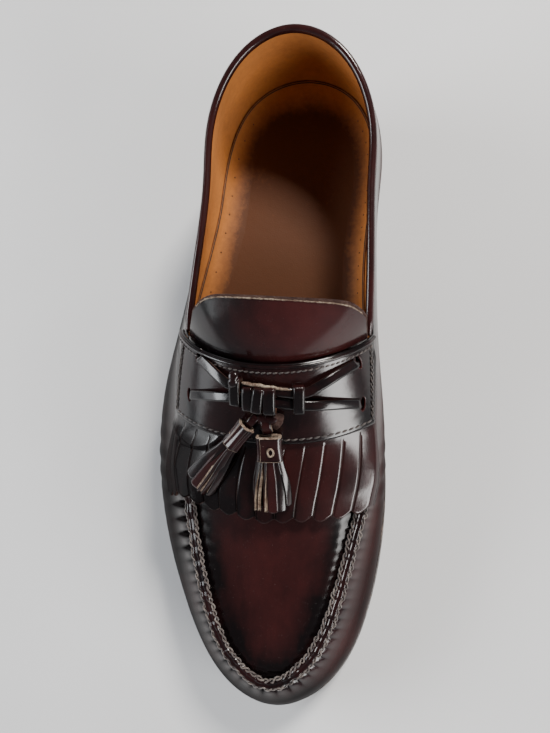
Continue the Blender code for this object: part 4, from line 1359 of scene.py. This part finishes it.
@dataclass
class Tongue:
    """Tongue that rises behind the saddle to a raw, rounded top edge."""

    use: Finishes
    base_across: Pair = (0.07, 0.96)
    throat_y: float = 12.5
    centre_x: float = 13.0
    half_width: float = 33.0
    top_y: float = 17.0
    skew: float = 1.2
    top_z: float = 101.5
    drop: float = 9.0
    corner: float = 0.30
    corner_power: int = 11
    thickness: float = 2.4

    def build(self) -> None:
        """Make the tongue: straight lines from the throat row to the top curve, bowed out."""
        count, levels = 130, 70
        ratio = np.sin(0.5 * PI * np.linspace(-1.0, 1.0, count))
        across = self.base_across[0] + (self.base_across[1] - self.base_across[0]) * 0.5 * (1.0 + ratio)
        station = LAST.station(self.throat_y + LAST.gap)
        base = LAST.arch(np.full(count, station), across)
        top = np.stack([
            self.centre_x + self.half_width * ratio,
            self.top_y + 2.0 * ratio ** 2 - self.skew * ratio,
            self.top_z - self.drop * ratio ** 2,
        ], axis=1)
        reach = 1.0 - self.corner * np.abs(ratio) ** self.corner_power
        rises = even(levels)[:, None] * reach[None]
        belly = 1.6 * np.sin(PI * rises)[..., None] * np.array([0.0, -0.6, 0.8])
        points = base[None] * (1.0 - rises[..., None]) + top[None] * rises[..., None] + belly
        points = points[::-1]
        rises = rises[::-1]
        down = np.gradient(points, axis=0)
        side = np.gradient(points, axis=1)
        normals = unit(np.cross(down, side))
        tone = 0.86 - 0.56 * ease((ratio + 0.60) / 1.0)[None] + 0.30 * np.abs(ratio)[None] ** 5
        # Painted shade: darker at the foot of the tongue, where it goes under the saddle.
        tone = tone + 0.45 * np.exp(-rises / 0.20)
        dress(Sheet("tongue_leather", points - normals * self.thickness, normals, self.thickness,
                    hide(self.use, self.use.dark_raw), burnish_and_shade=tone,
                    bulge=0.4).build(), "tongue")
        middle = slice(12, -12)
        wave = 0.10 * np.sin(2.3 * np.arange(count)) + 0.08 * np.sin(1.1 * np.arange(count) + 1.0)
        line = points[0, middle] + normals[0, middle] * 0.02
        dress(tube("tongue_rough_edge", line, normals[0, middle], 0.26 + wave[middle], 0.22, self.use.raw))


@dataclass
class Binding:
    """Rolled edge round the topline."""

    use: Finishes
    radius: float = 1.6
    wall: float = 2.0
    inset: float = 1.7
    front_y: float = 13.0

    def build(self) -> None:
        """Make the roll, from one side of the saddle round the heel to the other."""
        front = LAST.station(self.front_y)
        ring = np.linspace(-front, front, 420)
        edge = LAST.edge(ring)
        inward = -LAST.outward(ring) * self.wall * 0.5 * self.inset
        centre = edge + stand(inward, self.radius - 0.15)
        up = np.tile(UP, (len(ring), 1))
        taper = 0.55 + 0.45 * ease((front - np.abs(ring)) / 0.02)
        dress(tube("collar_roll", centre, up, 1.75 * taper, 1.85 * taper, self.use.bound_edge,
                   burnish_and_shade=0.40), "collar_binding")


@dataclass
class Straps:
    """Flat lace strips from slot to slot, the keepers and the knot."""

    use: Finishes
    saddle: Saddle
    keepers: tuple = (("keeper_lateral", -1.9, -12.9), ("keeper_medial", 19.9, -14.6))
    pitch: float = 4.2
    lift: float = 2.0
    width: float = 3.9
    thickness: float = 1.0
    clear: float = 2.4
    corner: int = 9

    def route(self, first: int, last: int, offset: float) -> Array:
        """Plan points of a strip: slot, keeper, knot, keeper, slot."""
        start, stop = self.saddle.slots[first], self.saddle.slots[last]
        near, far = self.keepers
        middle = 0.5 * (near[2] + far[2])
        return np.array([
            start[1:], (near[1] - self.clear, near[2] + offset), (near[1], near[2] + offset),
            (self.saddle.knot[0], middle + offset), (far[1], far[2] + offset),
            (far[1] + self.clear, far[2] + offset), stop[1:],
        ])

    def ribbon(self, name: str, path: Array, up: Array, width: Array | float, thickness: float,
               burnish_and_shade: float = 0.85, material: Finish | None = None,
               rim: Finish | None = None) -> Piece:
        """Flat strip along a path, with a slight crown: height 0.12 (1 - c^2)."""
        _, side, up = path_frames(path, up)
        place = np.linspace(-1.0, 1.0, 7)
        wide = np.broadcast_to(np.asarray(width, dtype=float), (len(path),))
        under = path[:, None] - side[:, None] * (place[None, :, None] * 0.5 * wide[:, None, None])
        under = under + up[:, None] * (0.12 * (1.0 - place ** 2))[None, :, None]
        normals = np.repeat(up[:, None], len(place), axis=1)
        top = material or self.use.leather
        tone = burnish_and_shade + 0.3 * np.abs(place)[None] ** 4 + np.zeros((len(path), 1))
        return Sheet(name, under, normals, thickness, [top, self.use.lining, rim or self.use.raw],
                     bulge=0.3, burnish_and_shade=tone).build()

    def build(self) -> None:
        """Make the strips, the keepers and the knot."""
        nodes = ("lace",)
        for name, first, last, offset in (("upper", 0, 2, 0.5 * self.pitch),
                                          ("lower", 1, 3, -0.5 * self.pitch)):
            plan = self.route(first, last, offset)
            places = even(190)
            run = run_along(plan)
            line = sample(places, run / run[-1], plan)
            padded = np.concatenate([np.repeat(line[:1], self.corner, axis=0), line,
                                     np.repeat(line[-1:], self.corner, axis=0)])
            window = np.ones(2 * self.corner + 1) / (2 * self.corner + 1)
            line = np.stack([np.convolve(padded[:, axis], window, "valid") for axis in (0, 1)], axis=1)
            end = np.minimum(places, 1.0 - places)
            height = LAST.gap + self.lift * ease(end / 0.26) - 2.1 * (1.0 - ease(end / 0.030))
            path, up = self.saddle.above(line, height)
            up = unit(up + UP)
            dress(self.ribbon("lace_" + name, path, up, self.width, self.thickness, 0.95, None,
                              self.use.dark_raw), *nodes)
            nodes = ()
        for name, x, y in self.keepers:
            self.keeper(name, x, y)
        self.build_tab()
        Knot(self.use, self.saddle, self).build()

    def build_tab(self) -> None:
        """Fold a small end over the lateral keeper: a strip with a waist between two lobes."""
        _, x, y = self.keepers[0]
        share = even(40)
        plan = np.stack([x + 0.2 - 0.4 * share, y + 7.6 - 5.6 * share], axis=1)
        path, up = self.saddle.above(plan, 3.6 + 1.5 * np.sin(PI * share) ** 0.5)
        ends = np.sqrt(np.clip(1.0 - (2.0 * share - 1.0) ** 6, 0.05, 1.0))
        width = (4.0 - 0.8 * np.exp(-((share - 0.45) / 0.10) ** 2)) * ends
        dress(tube("keeper_tab", path, unit(up + np.array([0.25, 0.35, 0.0])), 0.5 * width, 0.85 * ends,
                   self.use.leather, burnish_and_shade=0.9))

    def keeper(self, name: str, x: float, y: float) -> None:
        """Make one loop round the two strips: a band along a rounded rectangle."""
        loop = self.band(np.array([x, y]), (1.0, 0.0), 11.8, 4.7, 0.0)
        dress(self.loop_band(name + "_leather", *loop, 4.4, 1.0), name)

    def band(self, plan: Array, toward: Pair, wide: float, tall: float, height: float) -> Arrays:
        """Closed loop on the saddle: its points and the direction of its width."""
        centre, up = self.saddle.above(plan[None], LAST.gap + height)
        along = np.array([toward[0], toward[1], 0.0])
        along = unit(along - up[0] * np.dot(along, up[0]))
        side = np.cross(up[0], along)
        turn = around(72)
        power = 0.5
        across = 0.5 * wide * blunt(np.cos(turn), power)
        rise = 0.5 * tall * (1.0 + blunt(np.sin(turn), power))
        return centre + across[:, None] * side + rise[:, None] * up[0], along

    def loop_band(self, name: str, loop: Array, along: Array, width: float, thickness: float,
                  bow: float = 0.0) -> Piece:
        """Leather band of a width along a closed loop, its edges raw."""
        place = np.linspace(-0.5, 0.5, 6)
        run = unit(np.roll(loop, -1, axis=0) - np.roll(loop, 1, axis=0))
        outward = unit(np.cross(run, along))
        centre = loop.mean(axis=0)
        flip = np.sign(np.sum(outward * (loop - centre), axis=1, keepdims=True).mean())
        outward = outward * flip
        points = loop[:, None] + along * (place[None, :, None] * width)
        points = points - outward[:, None] * (bow * place[None, :, None] ** 2)
        normals = np.repeat(outward[:, None], len(place), axis=1)
        if flip > 0.0:
            points, normals = points[:, ::-1], normals[:, ::-1]
        points = points - normals * thickness
        tone = 1.12 - 0.45 * np.linspace(-1.0, 1.0, len(loop))[:, None] ** 2 + np.zeros((1, len(place)))
        return Sheet(name, points, normals, thickness,
                     hide(self.use, self.use.dark_raw),
                     closed=True, bulge=0.25, burnish_and_shade=tone).build()


@dataclass
class Knot:
    """Wrapped knot: upright wraps, a lobe below them and the stems of the tassels."""

    use: Finishes
    saddle: Saddle
    straps: Straps
    wraps: tuple = (
        ("wrap_left", -3.9, 0.3, 10.4, 5.4, 4.2, 0.00),
        ("wrap_fold", -0.5, 0.0, 11.0, 6.0, 4.2, -0.14),
        ("wrap_right", 3.4, -0.1, 11.4, 5.8, 5.0, 0.00),
    )

    def build(self) -> None:
        """Make the wraps, the lobe and the stems."""
        x, y = self.saddle.knot
        nodes = ("knot",)
        for name, shift, down, wide, tall, width, turn in self.wraps:
            toward = (math.cos(turn), math.sin(turn))
            loop, along = self.straps.band(np.array([x + shift, y + down]), toward, wide, tall, 0.3)
            dress(self.straps.loop_band("knot_" + name, loop, along, width, 1.0, 0.3), *nodes)
            nodes = ()
        ratio = np.linspace(-1.0, 1.0, 48)
        plan = np.stack([x + 1.9 + 5.2 * ratio, y - 7.9 + 1.1 * ratio ** 2], axis=1)
        path, up = self.saddle.above(plan, 2.2 - 0.7 * ratio ** 2)
        dress(tube("knot_lobe", path, up, 2.3 - 1.5 * ratio ** 2, 1.6 - 0.9 * ratio ** 2,
                   self.use.leather, burnish_and_shade=0.80))
        self.build_raw_edges()
        stems = (("lateral", (5.0, -21.8), (1.2, -26.0), 3.4), ("medial", (8.2, -22.6), (9.2, -27.8), 4.2))
        for name, start, stop, width in stems:
            share = even(24)[:, None]
            plan = np.array(start) * (1.0 - share) + np.array(stop) * share
            path, up = self.saddle.above(plan, 2.0 + 1.0 * np.sin(PI * share[:, 0]))
            dress(self.straps.ribbon("stem_" + name, path, up, width, 1.1, 0.7))

    def build_raw_edges(self) -> None:
        """Lay the cut edge along the top of the knot, and the rough end beside the lobe."""
        share = even(90)
        wave = 0.22 * np.sin(23.0 * share) + 0.14 * np.sin(51.0 * share + 1.0)
        plan = np.stack([0.9 + 17.0 * share, -9.0 - 2.2 * share + 0.5 * wave], axis=1)
        path, up = self.saddle.above(plan, 4.4 - 1.3 * share + wave * 0.4)
        ends = np.sqrt(np.clip(1.0 - (2.0 * share - 1.0) ** 8, 0.02, 1.0)) * (1.0 - 0.45 * share ** 2)
        dress(tube("knot_cut_edge", path, up, (0.72 + 0.25 * wave) * ends, 0.62 * ends, self.use.raw))
        share = even(30)
        plan = np.stack([13.6 - 2.6 * share, -20.8 - 5.0 * share], axis=1)
        path, up = self.saddle.above(plan, 0.6 + 1.1 * np.sin(PI * share))
        width = 2.6 + 2.2 * np.sin(PI * share) ** 0.7
        dress(self.straps.ribbon("knot_rough_end", path, up, width, 1.2, material=self.use.dark_raw))


@dataclass(frozen=True)
class Strip:
    """One strip of a fringe: its place across from -1 to 1, its width, its tilt towards -X in
    degrees, its height over the fringe's middle, its share of the length, burnish and sideways bow.
    """

    place: float
    width: float
    tilt: float
    height: float
    length: float = 1.0
    burnish_and_shade: float = 0.7
    bow: float = 0.0


LATERAL_STRIPS = (
    Strip(-0.60, 3.6, -20.0, -1.9, 0.95, 0.9),
    Strip(0.05, 3.8, 6.0, -2.3, 0.99, 0.9),
    Strip(0.60, 3.6, 28.0, -2.0, 0.96, 0.9),
    Strip(0.98, 3.4, 58.0, -0.8, 0.97, 0.9, 0.3),
    Strip(0.66, 3.4, 62.0, 0.5, 0.99, 0.8, 0.3),
    Strip(0.36, 3.3, 58.0, 1.1, 1.0, 0.7, 0.2),
    Strip(-0.10, 4.8, 17.0, 1.2, 1.0, 0.50),
    Strip(-0.78, 4.5, -3.0, 1.5, 0.94, 0.9, -0.4),
)
MEDIAL_STRIPS = (
    Strip(-0.62, 3.8, -15.0, -1.9, 0.95, 0.9),
    Strip(0.00, 3.8, 0.0, -2.3, 0.98, 0.9),
    Strip(0.60, 3.8, 18.0, -1.9, 0.96, 0.9),
    Strip(-0.95, 3.2, -72.0, -0.1, 0.99, 0.9, -0.9),
    Strip(-0.76, 3.2, -70.0, 0.2, 0.99, 0.8, -0.6),
    Strip(-0.36, 3.2, -68.0, 0.9, 1.0, 0.8, -0.3),
    Strip(0.98, 3.2, 52.0, -0.3, 0.90, 0.9, 0.9),
    Strip(0.60, 3.7, 24.0, 0.8, 0.98, 0.9, 0.5),
    Strip(0.10, 4.9, -2.0, 1.4, 1.0, 0.62),
)


@dataclass
class Tassel:
    """Tassel: a strip rolled into a flat-sided head and cut into a fringe."""

    use: Finishes
    saddle: Saddle
    side: Side
    head: Pair
    tip: Pair
    head_wide: float
    fringe_wide: float
    strips: Sequence[Strip]
    facets: int
    facet_turn: float
    head_share: float
    top_share: float
    head_tall: float = 3.1
    lift: float = 3.65
    thickness: float = 1.2

    @property
    def name(self) -> str:
        """Name of the node that the tassel stands for."""
        return "tassel_" + self.side.name.lower()

    def frames(self, shares: Array) -> Arrays:
        """Axis points at shares of the length, with along, side and up vectors."""
        plan = np.array(self.head) * (1.0 - shares[:, None]) + np.array(self.tip) * shares[:, None]
        centre, up = self.saddle.above(plan, self.lift)
        along, side, up = path_frames(centre, up)
        return centre, along, side, up

    def build(self) -> None:
        """Make the rolled head, its fringe and the small eye on the medial one."""
        self.build_head()
        self.build_fringe()
        if self.side is Side.MEDIAL:
            self.build_eye()

    def build_head(self) -> None:
        """Roll the head: a spiral whose radius grows to its end and whose sides are soft facets.

        The radius is grow(t) * (1 + 0.075 cos(facets * t)), with t the turn round the head.
        """
        shares = np.linspace(self.top_share, self.head_share, 34)
        centre, _, side, up = self.frames(shares)
        turn = np.linspace(0.30 * PI, 2.66 * PI, 150)
        grow = 0.84 + 0.17 * (turn - turn[0]) / (turn[-1] - turn[0])
        beat = self.facets * (turn - 0.5 * PI - math.radians(self.facet_turn))
        facet = 1.0 + 0.075 * np.cos(beat + PI)
        length = even(len(shares))
        waist = 1.0 - 0.06 * np.sin(PI * length) + 0.03 * length
        wide = self.head_wide * (grow * facet)[None] * waist[:, None]
        tall = self.head_tall * (grow * facet)[None] * waist[:, None]
        ring = (side[:, None] * (np.cos(turn)[None] * wide)[..., None]
                + up[:, None] * (np.sin(turn)[None] * tall)[..., None])
        points = (centre[:, None] + ring)[:, ::-1]
        run = np.cross(np.gradient(points, axis=0), np.gradient(points, axis=1))
        outward = unit(run)
        if np.mean(np.sum(outward * ring[:, ::-1], axis=-1)) < 0.0:
            points, outward = points[:, ::-1], -outward[:, ::-1]
        tone = 0.74 + 0.2 * np.exp(-length / 0.1)[:, None] + 0.2 * np.exp(-(1.0 - length) / 0.08)[:, None]
        dress(Sheet(self.name + "_head", points - outward * self.thickness, outward, self.thickness,
                    [self.use.leather, self.use.raw, self.use.raw], bulge=0.3,
                    burnish_and_shade=tone + np.zeros((1, len(turn)))).build(), self.name)

    def build_fringe(self) -> None:
        """Lay the strips: each starts inside the head, fans out and is rounded at its end."""
        straps = Straps(self.use, self.saddle)
        start = self.head_share - 0.12
        local = even(52)
        for number, strip in enumerate(self.strips):
            shares = start + (1.0 - start) * local * strip.length
            centre, _, side, up = self.frames(shares)
            free = ease((shares - self.head_share) / (1.0 - self.head_share) * 0.85 + 0.08)
            inner = self.head_wide - 1.9
            outer = self.fringe_wide - 1.2
            offset = strip.place * (inner + (outer - inner) * free) + strip.bow * np.sin(PI * free)
            height = strip.height * (0.75 + 0.25 * free) - 0.5 * free ** 2
            tilt = math.radians(strip.tilt) * (0.55 + 0.45 * free)
            lean = up * np.cos(tilt)[:, None] + side * np.sin(tilt)[:, None]
            path = centre + side * offset[:, None] + up * height[:, None]
            width = strip.width * (0.74 + 0.26 * ease(free * 2.5))
            width = width * np.sqrt(np.clip(1.0 - (np.maximum(local - 0.95, 0.0) / 0.056) ** 2, 0.12, 1.0))
            dress(straps.ribbon(f"{self.name}_strip_{number}", path - lean * 0.5 * self.thickness, lean,
                                width, self.thickness, strip.burnish_and_shade))

    def build_eye(self) -> None:
        """Press a small oval ring into the head's face."""
        centre, along, side, up = (values[0] for values in self.frames(np.array([0.23, 0.24])))
        turn = around(48)
        across = 1.15 * np.cos(turn) + 1.1
        rise = self.head_tall * (1.02 - 0.10 * (across / self.head_wide) ** 2) + 0.10
        path = centre + side * across[:, None] + along * (1.6 * np.sin(turn))[:, None] + up * rise[:, None]
        dress(tube("tassel_eye", path, np.tile(up, (len(turn), 1)), 0.40, 0.30, self.use.raw, closed=True))


@dataclass
class SoleLayer:
    """One layer of the bottom, as loops across the shoe: side, top, side and underside.

    A side's profile is a list of outward offsets and heights as shares of the thickness.
    """

    name: str
    node: str
    slot: str
    margin: float
    follow: float
    base: float
    thickness: float
    materials: Sequence
    flat: bool = False
    last_station: float = 1.0
    inset: float = 0.0
    hollow: float = 0.0
    burnish_and_shade: float = 0.0
    across: int = 22
    profile: tuple = ((-0.9, 0.0), (-0.35, 0.05), (-0.05, 0.18), (0.05, 0.5), (-0.05, 0.82), (-0.35, 0.95),
                      (-0.9, 1.0))

    def stations(self) -> Array:
        """Stations from the heel, closer together at the round ends."""
        ratio = even(200)
        if self.last_station < 1.0:
            return self.last_station * (1.0 - np.cos(0.5 * PI * ratio))
        return ratio - 0.82 * np.sin(2.0 * PI * ratio) / (2.0 * PI)

    def build(self) -> None:
        """Make the layer and choose its materials: edge on the sides, others above and below."""
        stations = self.stations()
        share = even(self.across + 1)[None, :, None]
        sides = []
        for places in (stations, 2.0 - stations):
            margins = self.margin + self.follow * LAST.ledge(places) - self.inset
            rows = [LAST.outline(places, margins + offset) for offset, _ in self.profile]
            sides.append(np.stack(rows, axis=1))
        lateral, medial = sides
        low = lateral[:, :1] * (1.0 - share) + medial[:, :1] * share
        high = lateral[:, -1:] * (1.0 - share) + medial[:, -1:] * share
        heights = np.array([height for _, height in self.profile])
        plan = np.concatenate([lateral, high[:, 1:-1], medial[:, ::-1], low[:, ::-1][:, 1:-1]], axis=1)
        levels = np.concatenate([heights, np.ones(self.across - 1), heights[::-1], np.zeros(self.across - 1)])
        if self.hollow:
            shares = np.concatenate([np.zeros(len(heights)), share[0, 1:-1, 0], np.ones(len(heights)),
                                     share[0, ::-1, 0][1:-1]])
            push = self.hollow * 4.0 * shares * (1.0 - shares)
            plan[..., 1] += push[None] * ease((stations / self.last_station - 0.7) / 0.3)[:, None]
        floor = np.zeros(plan.shape[:2]) if self.flat else LAST.rise(plan[..., 1])
        z = floor + self.base + self.thickness * levels[None]
        points = stand(plan, z)
        self.write(points, len(heights))

    def write(self, points: Array, side: int) -> None:
        """Write the loops as a closed mesh, with a cap where the layer stops short."""
        rows, loop = points.shape[:2]
        index = np.arange(rows * loop).reshape(rows, loop)
        cells = quads(np.hstack([index, index[:, :1]]))
        slots = np.full(loop, Face.EDGE.value)
        slots[side - 1:side + self.across - 1] = Face.TOP.value
        slots[2 * side + self.across - 2:] = Face.UNDER.value
        faces = cells.reshape(-1, 4).tolist()
        marks = np.tile(slots, rows - 1).tolist()
        if self.last_station < 1.0:
            top = index[-1, side - 1:side + self.across]
            bottom = np.concatenate([index[-1, 2 * side + self.across - 2:], index[-1, :1]])[::-1]
            faces += np.stack([top[:-1], bottom[:-1], bottom[1:], top[1:]], axis=1).tolist()
            faces += [index[-1, :side].tolist(),
                      index[-1, side + self.across - 1:2 * side + self.across - 1].tolist()]
            marks += [Face.EDGE.value] * (self.across + 2)
        piece = write_mesh(self.name, points.reshape(-1, 3), faces, self.materials, np.array(marks),
                           np.full(rows * loop, self.burnish_and_shade))
        weld(piece)
        dress(piece, self.node, slot=self.slot)


def weld(piece: Piece, distance: float = 0.004) -> None:
    """Merge doubled points, drop faces without area and turn the faces outward."""
    bm = bmesh.new()
    bm.from_mesh(piece.data)
    bmesh.ops.remove_doubles(bm, verts=bm.verts, dist=distance * MM)
    bmesh.ops.dissolve_degenerate(bm, edges=bm.edges, dist=distance * MM)
    bmesh.ops.recalc_face_normals(bm, faces=bm.faces)
    bm.to_mesh(piece.data)
    bm.free()


@dataclass
class Bottom:
    """Outsole, welt, insole, heel and top lift, with the welt's stitches and the insole's pinholes."""

    use: Finishes
    insole: float = 4.8
    insole_margin: float = 2.8
    top_lift: float = 6.0
    cup_width: float = 9.0
    # Painted shade: how dark the footbed and the foot of its rim are made.
    rub_and_shade: float = 0.92
    cup_height: float = 0.22

    def build(self) -> None:
        """Make every layer and its details."""
        use = self.use
        SoleLayer("outsole_leather", "outsole", "sole_leather", 0.0, 1.0, 0.0, LAST.outsole,
                  [use.tread, use.tread, use.edge]).build()
        self.build_welt()
        # The footbed is darkened all over as painted shade.
        SoleLayer("footbed", "insole", "lining_leather", -self.insole_margin, 0.0, LAST.outsole + LAST.gap,
                  self.insole, [use.lining] * 3, burnish_and_shade=self.rub_and_shade).build()
        breast = self.breast()
        SoleLayer("heel_block", "heel", "heel_stack", 0.0, 1.0, self.top_lift + LAST.gap,
                  LAST.heel_rise - 2.0 * LAST.gap - self.top_lift, [use.stack] * 3, True, breast,
                  0.8, 3.0).build()
        SoleLayer("heel_lift", "top_lift", "heel_rubber", 0.0, 1.0, 0.0, self.top_lift, [use.rubber] * 3,
                  True, breast, 0.8, 3.0).build()
        self.build_pinholes()

    def breast(self) -> float:
        """Station where the heel's straight front stands, 76 mm behind the middle."""
        stations = np.linspace(0.05, 0.45, 400)
        middle = 0.5 * (LAST.at(stations)[:, 1] + LAST.at(2.0 - stations)[:, 1])
        return float(np.interp(-76.0, -middle, stations))

    def build_welt(self) -> None:
        """Make the welt: a ring with a rounded outer edge and a groove, and its stitches."""
        ring = np.linspace(0.0, 2.0, 721)[:-1]
        ledge = LAST.ledge(ring)
        outer = ((-1.0, 0.0), (-0.25, 0.08), (0.0, 0.35), (0.0, 0.65), (-0.25, 0.92), (-0.9, 1.0))
        section = [(ledge + offset, height) for offset, height in outer] + [(-1.9, 1.0), (-1.9, 0.0)]
        columns = []
        for margin, height in section:
            plan = LAST.outline(ring, margin)
            z = LAST.rise(plan[:, 1]) + LAST.outsole + LAST.gap + height * LAST.welt
            columns.append(stand(plan, z))
        points = np.stack(columns, axis=1)
        index = np.arange(points.shape[0] * points.shape[1]).reshape(points.shape[:2])
        index = np.hstack([index, index[:, :1]])
        cells = quads(np.vstack([index, index[:1]]))[..., [0, 3, 2, 1]].reshape(-1, 4)
        piece = write_mesh("welt_strip", points.reshape(-1, 3), cells.tolist(), [self.use.welt])
        weld(piece)
        dress(piece, "welt", slot="welt_leather")
        ring = np.linspace(0.30, 1.70, 900)
        plan = LAST.outline(ring, LAST.ledge(ring) - 1.75)
        z = LAST.rise(plan[:, 1]) + LAST.outsole + LAST.gap + LAST.welt + 0.08
        path = stand(plan, z)
        up = np.tile(UP, (len(ring), 1))
        dress(stitches("welt_stitches", path, up, 3.1, 0.30, self.use.thread), slot="welt_leather")

    def cup(self, places: Array, shares: Array, lift: float = 0.0) -> Arrays:
        """Cupped rim of the footbed: a quadratic Bezier from its flat face up the lining.

        Args:
            places: Places round the shoe.
            shares: 0 at the flat face to 1 at the rim's top.
            lift: Height above the surface.

        Returns:
            Points and unit normals that point into the shoe.
        """
        flat = LAST.outline(places, -self.insole_margin - self.cup_width)
        level = LAST.rise(flat[..., 1]) + LAST.outsole + LAST.gap + self.insole - 0.12
        start = stand(flat, level)
        outward = stand(LAST.outward(places), 0.0)
        top = LAST.wall(places, np.full(places.shape, self.cup_height)) - outward * 3.1
        corner = stand(top - outward * 1.5, level)
        share = shares[..., None]
        points = start * (1.0 - share) ** 2 + corner * 2.0 * share * (1.0 - share) + top * share ** 2
        run = (corner - start) * (1.0 - share) + (top - corner) * share
        round_shoe = np.cross(outward, UP)
        normals = unit(np.cross(run, round_shoe))
        normals = normals * np.where(normals[..., 2:3] < 0.0, -1.0, 1.0)
        return points + normals * lift, normals

    def build_pinholes(self) -> None:
        """Make the cupped rim, its dark top line and the rows of pinholes."""
        ring, levels = np.meshgrid(np.linspace(0.0, 2.0, 301)[:-1], even(18), indexing="ij")
        points, normals = self.cup(ring, levels)
        # Painted shade on the rim: darker towards the toe and at its foot, like the footbed.
        rim = Sheet("footbed_rim", (points - normals * 0.9)[:, ::-1], normals[:, ::-1], 0.9,
                    [self.use.lining] * 3, closed=True, bulge=0.4,
                    burnish_and_shade=np.maximum(0.85 * ease((18.0 - points[:, ::-1, 1]) / 40.0),
                                       self.rub_and_shade * (1.0 - ease(levels[:, ::-1] / 0.85))))
        dress(rim.build(), slot="lining_leather")
        ring = np.linspace(0.0, 2.0, 401)[:-1]
        path, up = self.cup(ring, np.full(ring.shape, 0.985), 0.05)
        line = tube("footbed_line", path, up, 0.32, 0.25, self.use.line, closed=True)
        dress(line, slot="lining_leather")
        rows = []
        for first, last, count in ((0.10, 0.52, 15), (1.48, 1.90, 23)):
            places = np.linspace(first, last, count)
            rows.append(self.cup(places, np.full(places.shape, 0.62), 0.04))
        centres, up = (np.concatenate(values) for values in zip(*rows))
        # The pinholes are dark domes that stand for the shade inside the holes.
        dress(dots("footbed_pinholes", centres, up, 0.45, self.use.hole), slot="lining_leather")


@dataclass
class Studio:
    """Pale floor, soft lights and the camera."""

    eye: Triple = (0.0535, -0.0384, 0.310)
    heelward: float = 9.4
    shoeward: float = 10.2
    roll: float = 2.35
    focal_px: float = 598.0
    frame_height_px: float = 733.0
    sensor: float = 36.0

    def build(self) -> None:
        """Make the floor, the lights and the camera."""
        self.build_floor()
        self.build_world()
        self.build_lights()
        self.build_camera()

    def build_floor(self) -> None:
        """Lay a wide pale floor just under the shoe."""
        mesh = bpy.data.meshes.new("floor")
        half = 2.5
        corners = [(-half, -half, 0.0), (half, -half, 0.0), (half, half, 0.0), (-half, half, 0.0)]
        mesh.from_pydata(corners, [], [(0, 1, 2, 3)])
        mesh.materials.append(PlainMatt("floor_paint", (0.60, 0.60, 0.61), (0.66, 0.66, 0.67)).material())
        floor = add_object("floor", mesh)

    def build_world(self) -> None:
        """Soft even light: darker overhead, brighter towards the horizon."""
        world = bpy.data.worlds.new("studio")
        world.use_nodes = True
        tree = world.node_tree
        back = tree.nodes["Background"]
        place = tree.nodes.new("ShaderNodeTexCoord")
        split = tree.nodes.new("ShaderNodeSeparateXYZ")
        ramp = tree.nodes.new("ShaderNodeMapRange")
        for key, value in (("From Min", 0.0), ("From Max", 0.95), ("To Min", 0.36), ("To Max", 0.06)):
            ramp.inputs[key].default_value = value
        tree.links.new(place.outputs["Generated"], split.inputs["Vector"])
        tree.links.new(split.outputs["Z"], ramp.inputs["Value"])
        tree.links.new(ramp.outputs["Result"], back.inputs["Strength"])
        back.inputs["Color"].default_value = (0.90, 0.93, 1.0, 1.0)
        bpy.context.scene.world = world

    def build_lights(self) -> None:
        """Place the soft boxes: key behind the heel, two on the lateral side, one on the medial side."""
        rows = (
            ("key", (0.45, 0.75, 0.90), 0.25, 0.25, 23.0, (1.0, 0.96, 0.90)),
            ("lateral_box", (-0.85, -0.05, 0.62), 0.75, 0.30, 9.0, (0.94, 0.97, 1.0)),
            ("toe_box", (-1.05, -0.14, 0.36), 0.75, 0.45, 2.6, (0.95, 0.98, 1.0)),
            ("medial_box", (0.90, -0.50, 0.45), 0.75, 0.32, 13.0, (1.0, 0.99, 0.97)),
        )
        for name, place, width, height, power, colour in rows:
            data = bpy.data.lights.new(name, "AREA")
            data.shape = "RECTANGLE"
            data.size = width
            data.size_y = height
            data.energy = power
            data.color = colour
            light = add_object(name, data)
            light.location = place
            aim = Vector((0.0, -0.03, 0.05)) - Vector(place)
            light.rotation_euler = aim.to_track_quat("-Z", "Y").to_euler()

    def build_camera(self) -> None:
        """Look down from the photograph's place over the instep, turned to take in the shoe."""
        data = bpy.data.cameras.new("camera")
        data.sensor_width = self.sensor
        data.lens = self.focal_px * self.sensor / self.frame_height_px
        data.clip_start = 0.01
        camera = add_object("camera", data)
        turn = Matrix.Identity(3)
        for angle, axis in ((self.roll, "Z"), (self.heelward, "X"), (self.shoeward, "Y")):
            turn = turn @ Matrix.Rotation(math.radians(angle), 3, axis)
        camera.matrix_world = Matrix.Translation(Vector(self.eye)) @ turn.to_4x4()
        bpy.context.scene.camera = camera


def main() -> None:
    """Dress the shoe, piece by piece, and set up the studio."""
    logging.basicConfig(level=logging.INFO, format="%(name)s %(message)s")
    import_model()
    finishes = Finishes()
    seam = SeamLine()
    saddle = Saddle(finishes)
    Bottom(finishes).build()
    Upper(finishes, seam).build()
    MocSeam(finishes, seam).build()
    Tongue(finishes).build()
    Kiltie(finishes, saddle).build()
    saddle.build()
    Binding(finishes).build()
    Straps(finishes, saddle).build()
    Tassel(finishes, saddle, Side.LATERAL, head=(1.9, -24.6), tip=(-19.6, -52.0), head_wide=4.1,
           fringe_wide=7.6, strips=LATERAL_STRIPS, facets=6, facet_turn=15.0, head_share=0.31,
           top_share=0.015).build()
    Tassel(finishes, saddle, Side.MEDIAL, head=(9.3, -26.6), tip=(10.8, -59.5), head_wide=6.0,
           fringe_wide=8.2, strips=MEDIAL_STRIPS, facets=4, facet_turn=0.0, head_share=0.35,
           top_share=0.07).build()
    Studio().build()


if __name__ == "__main__":
    main()
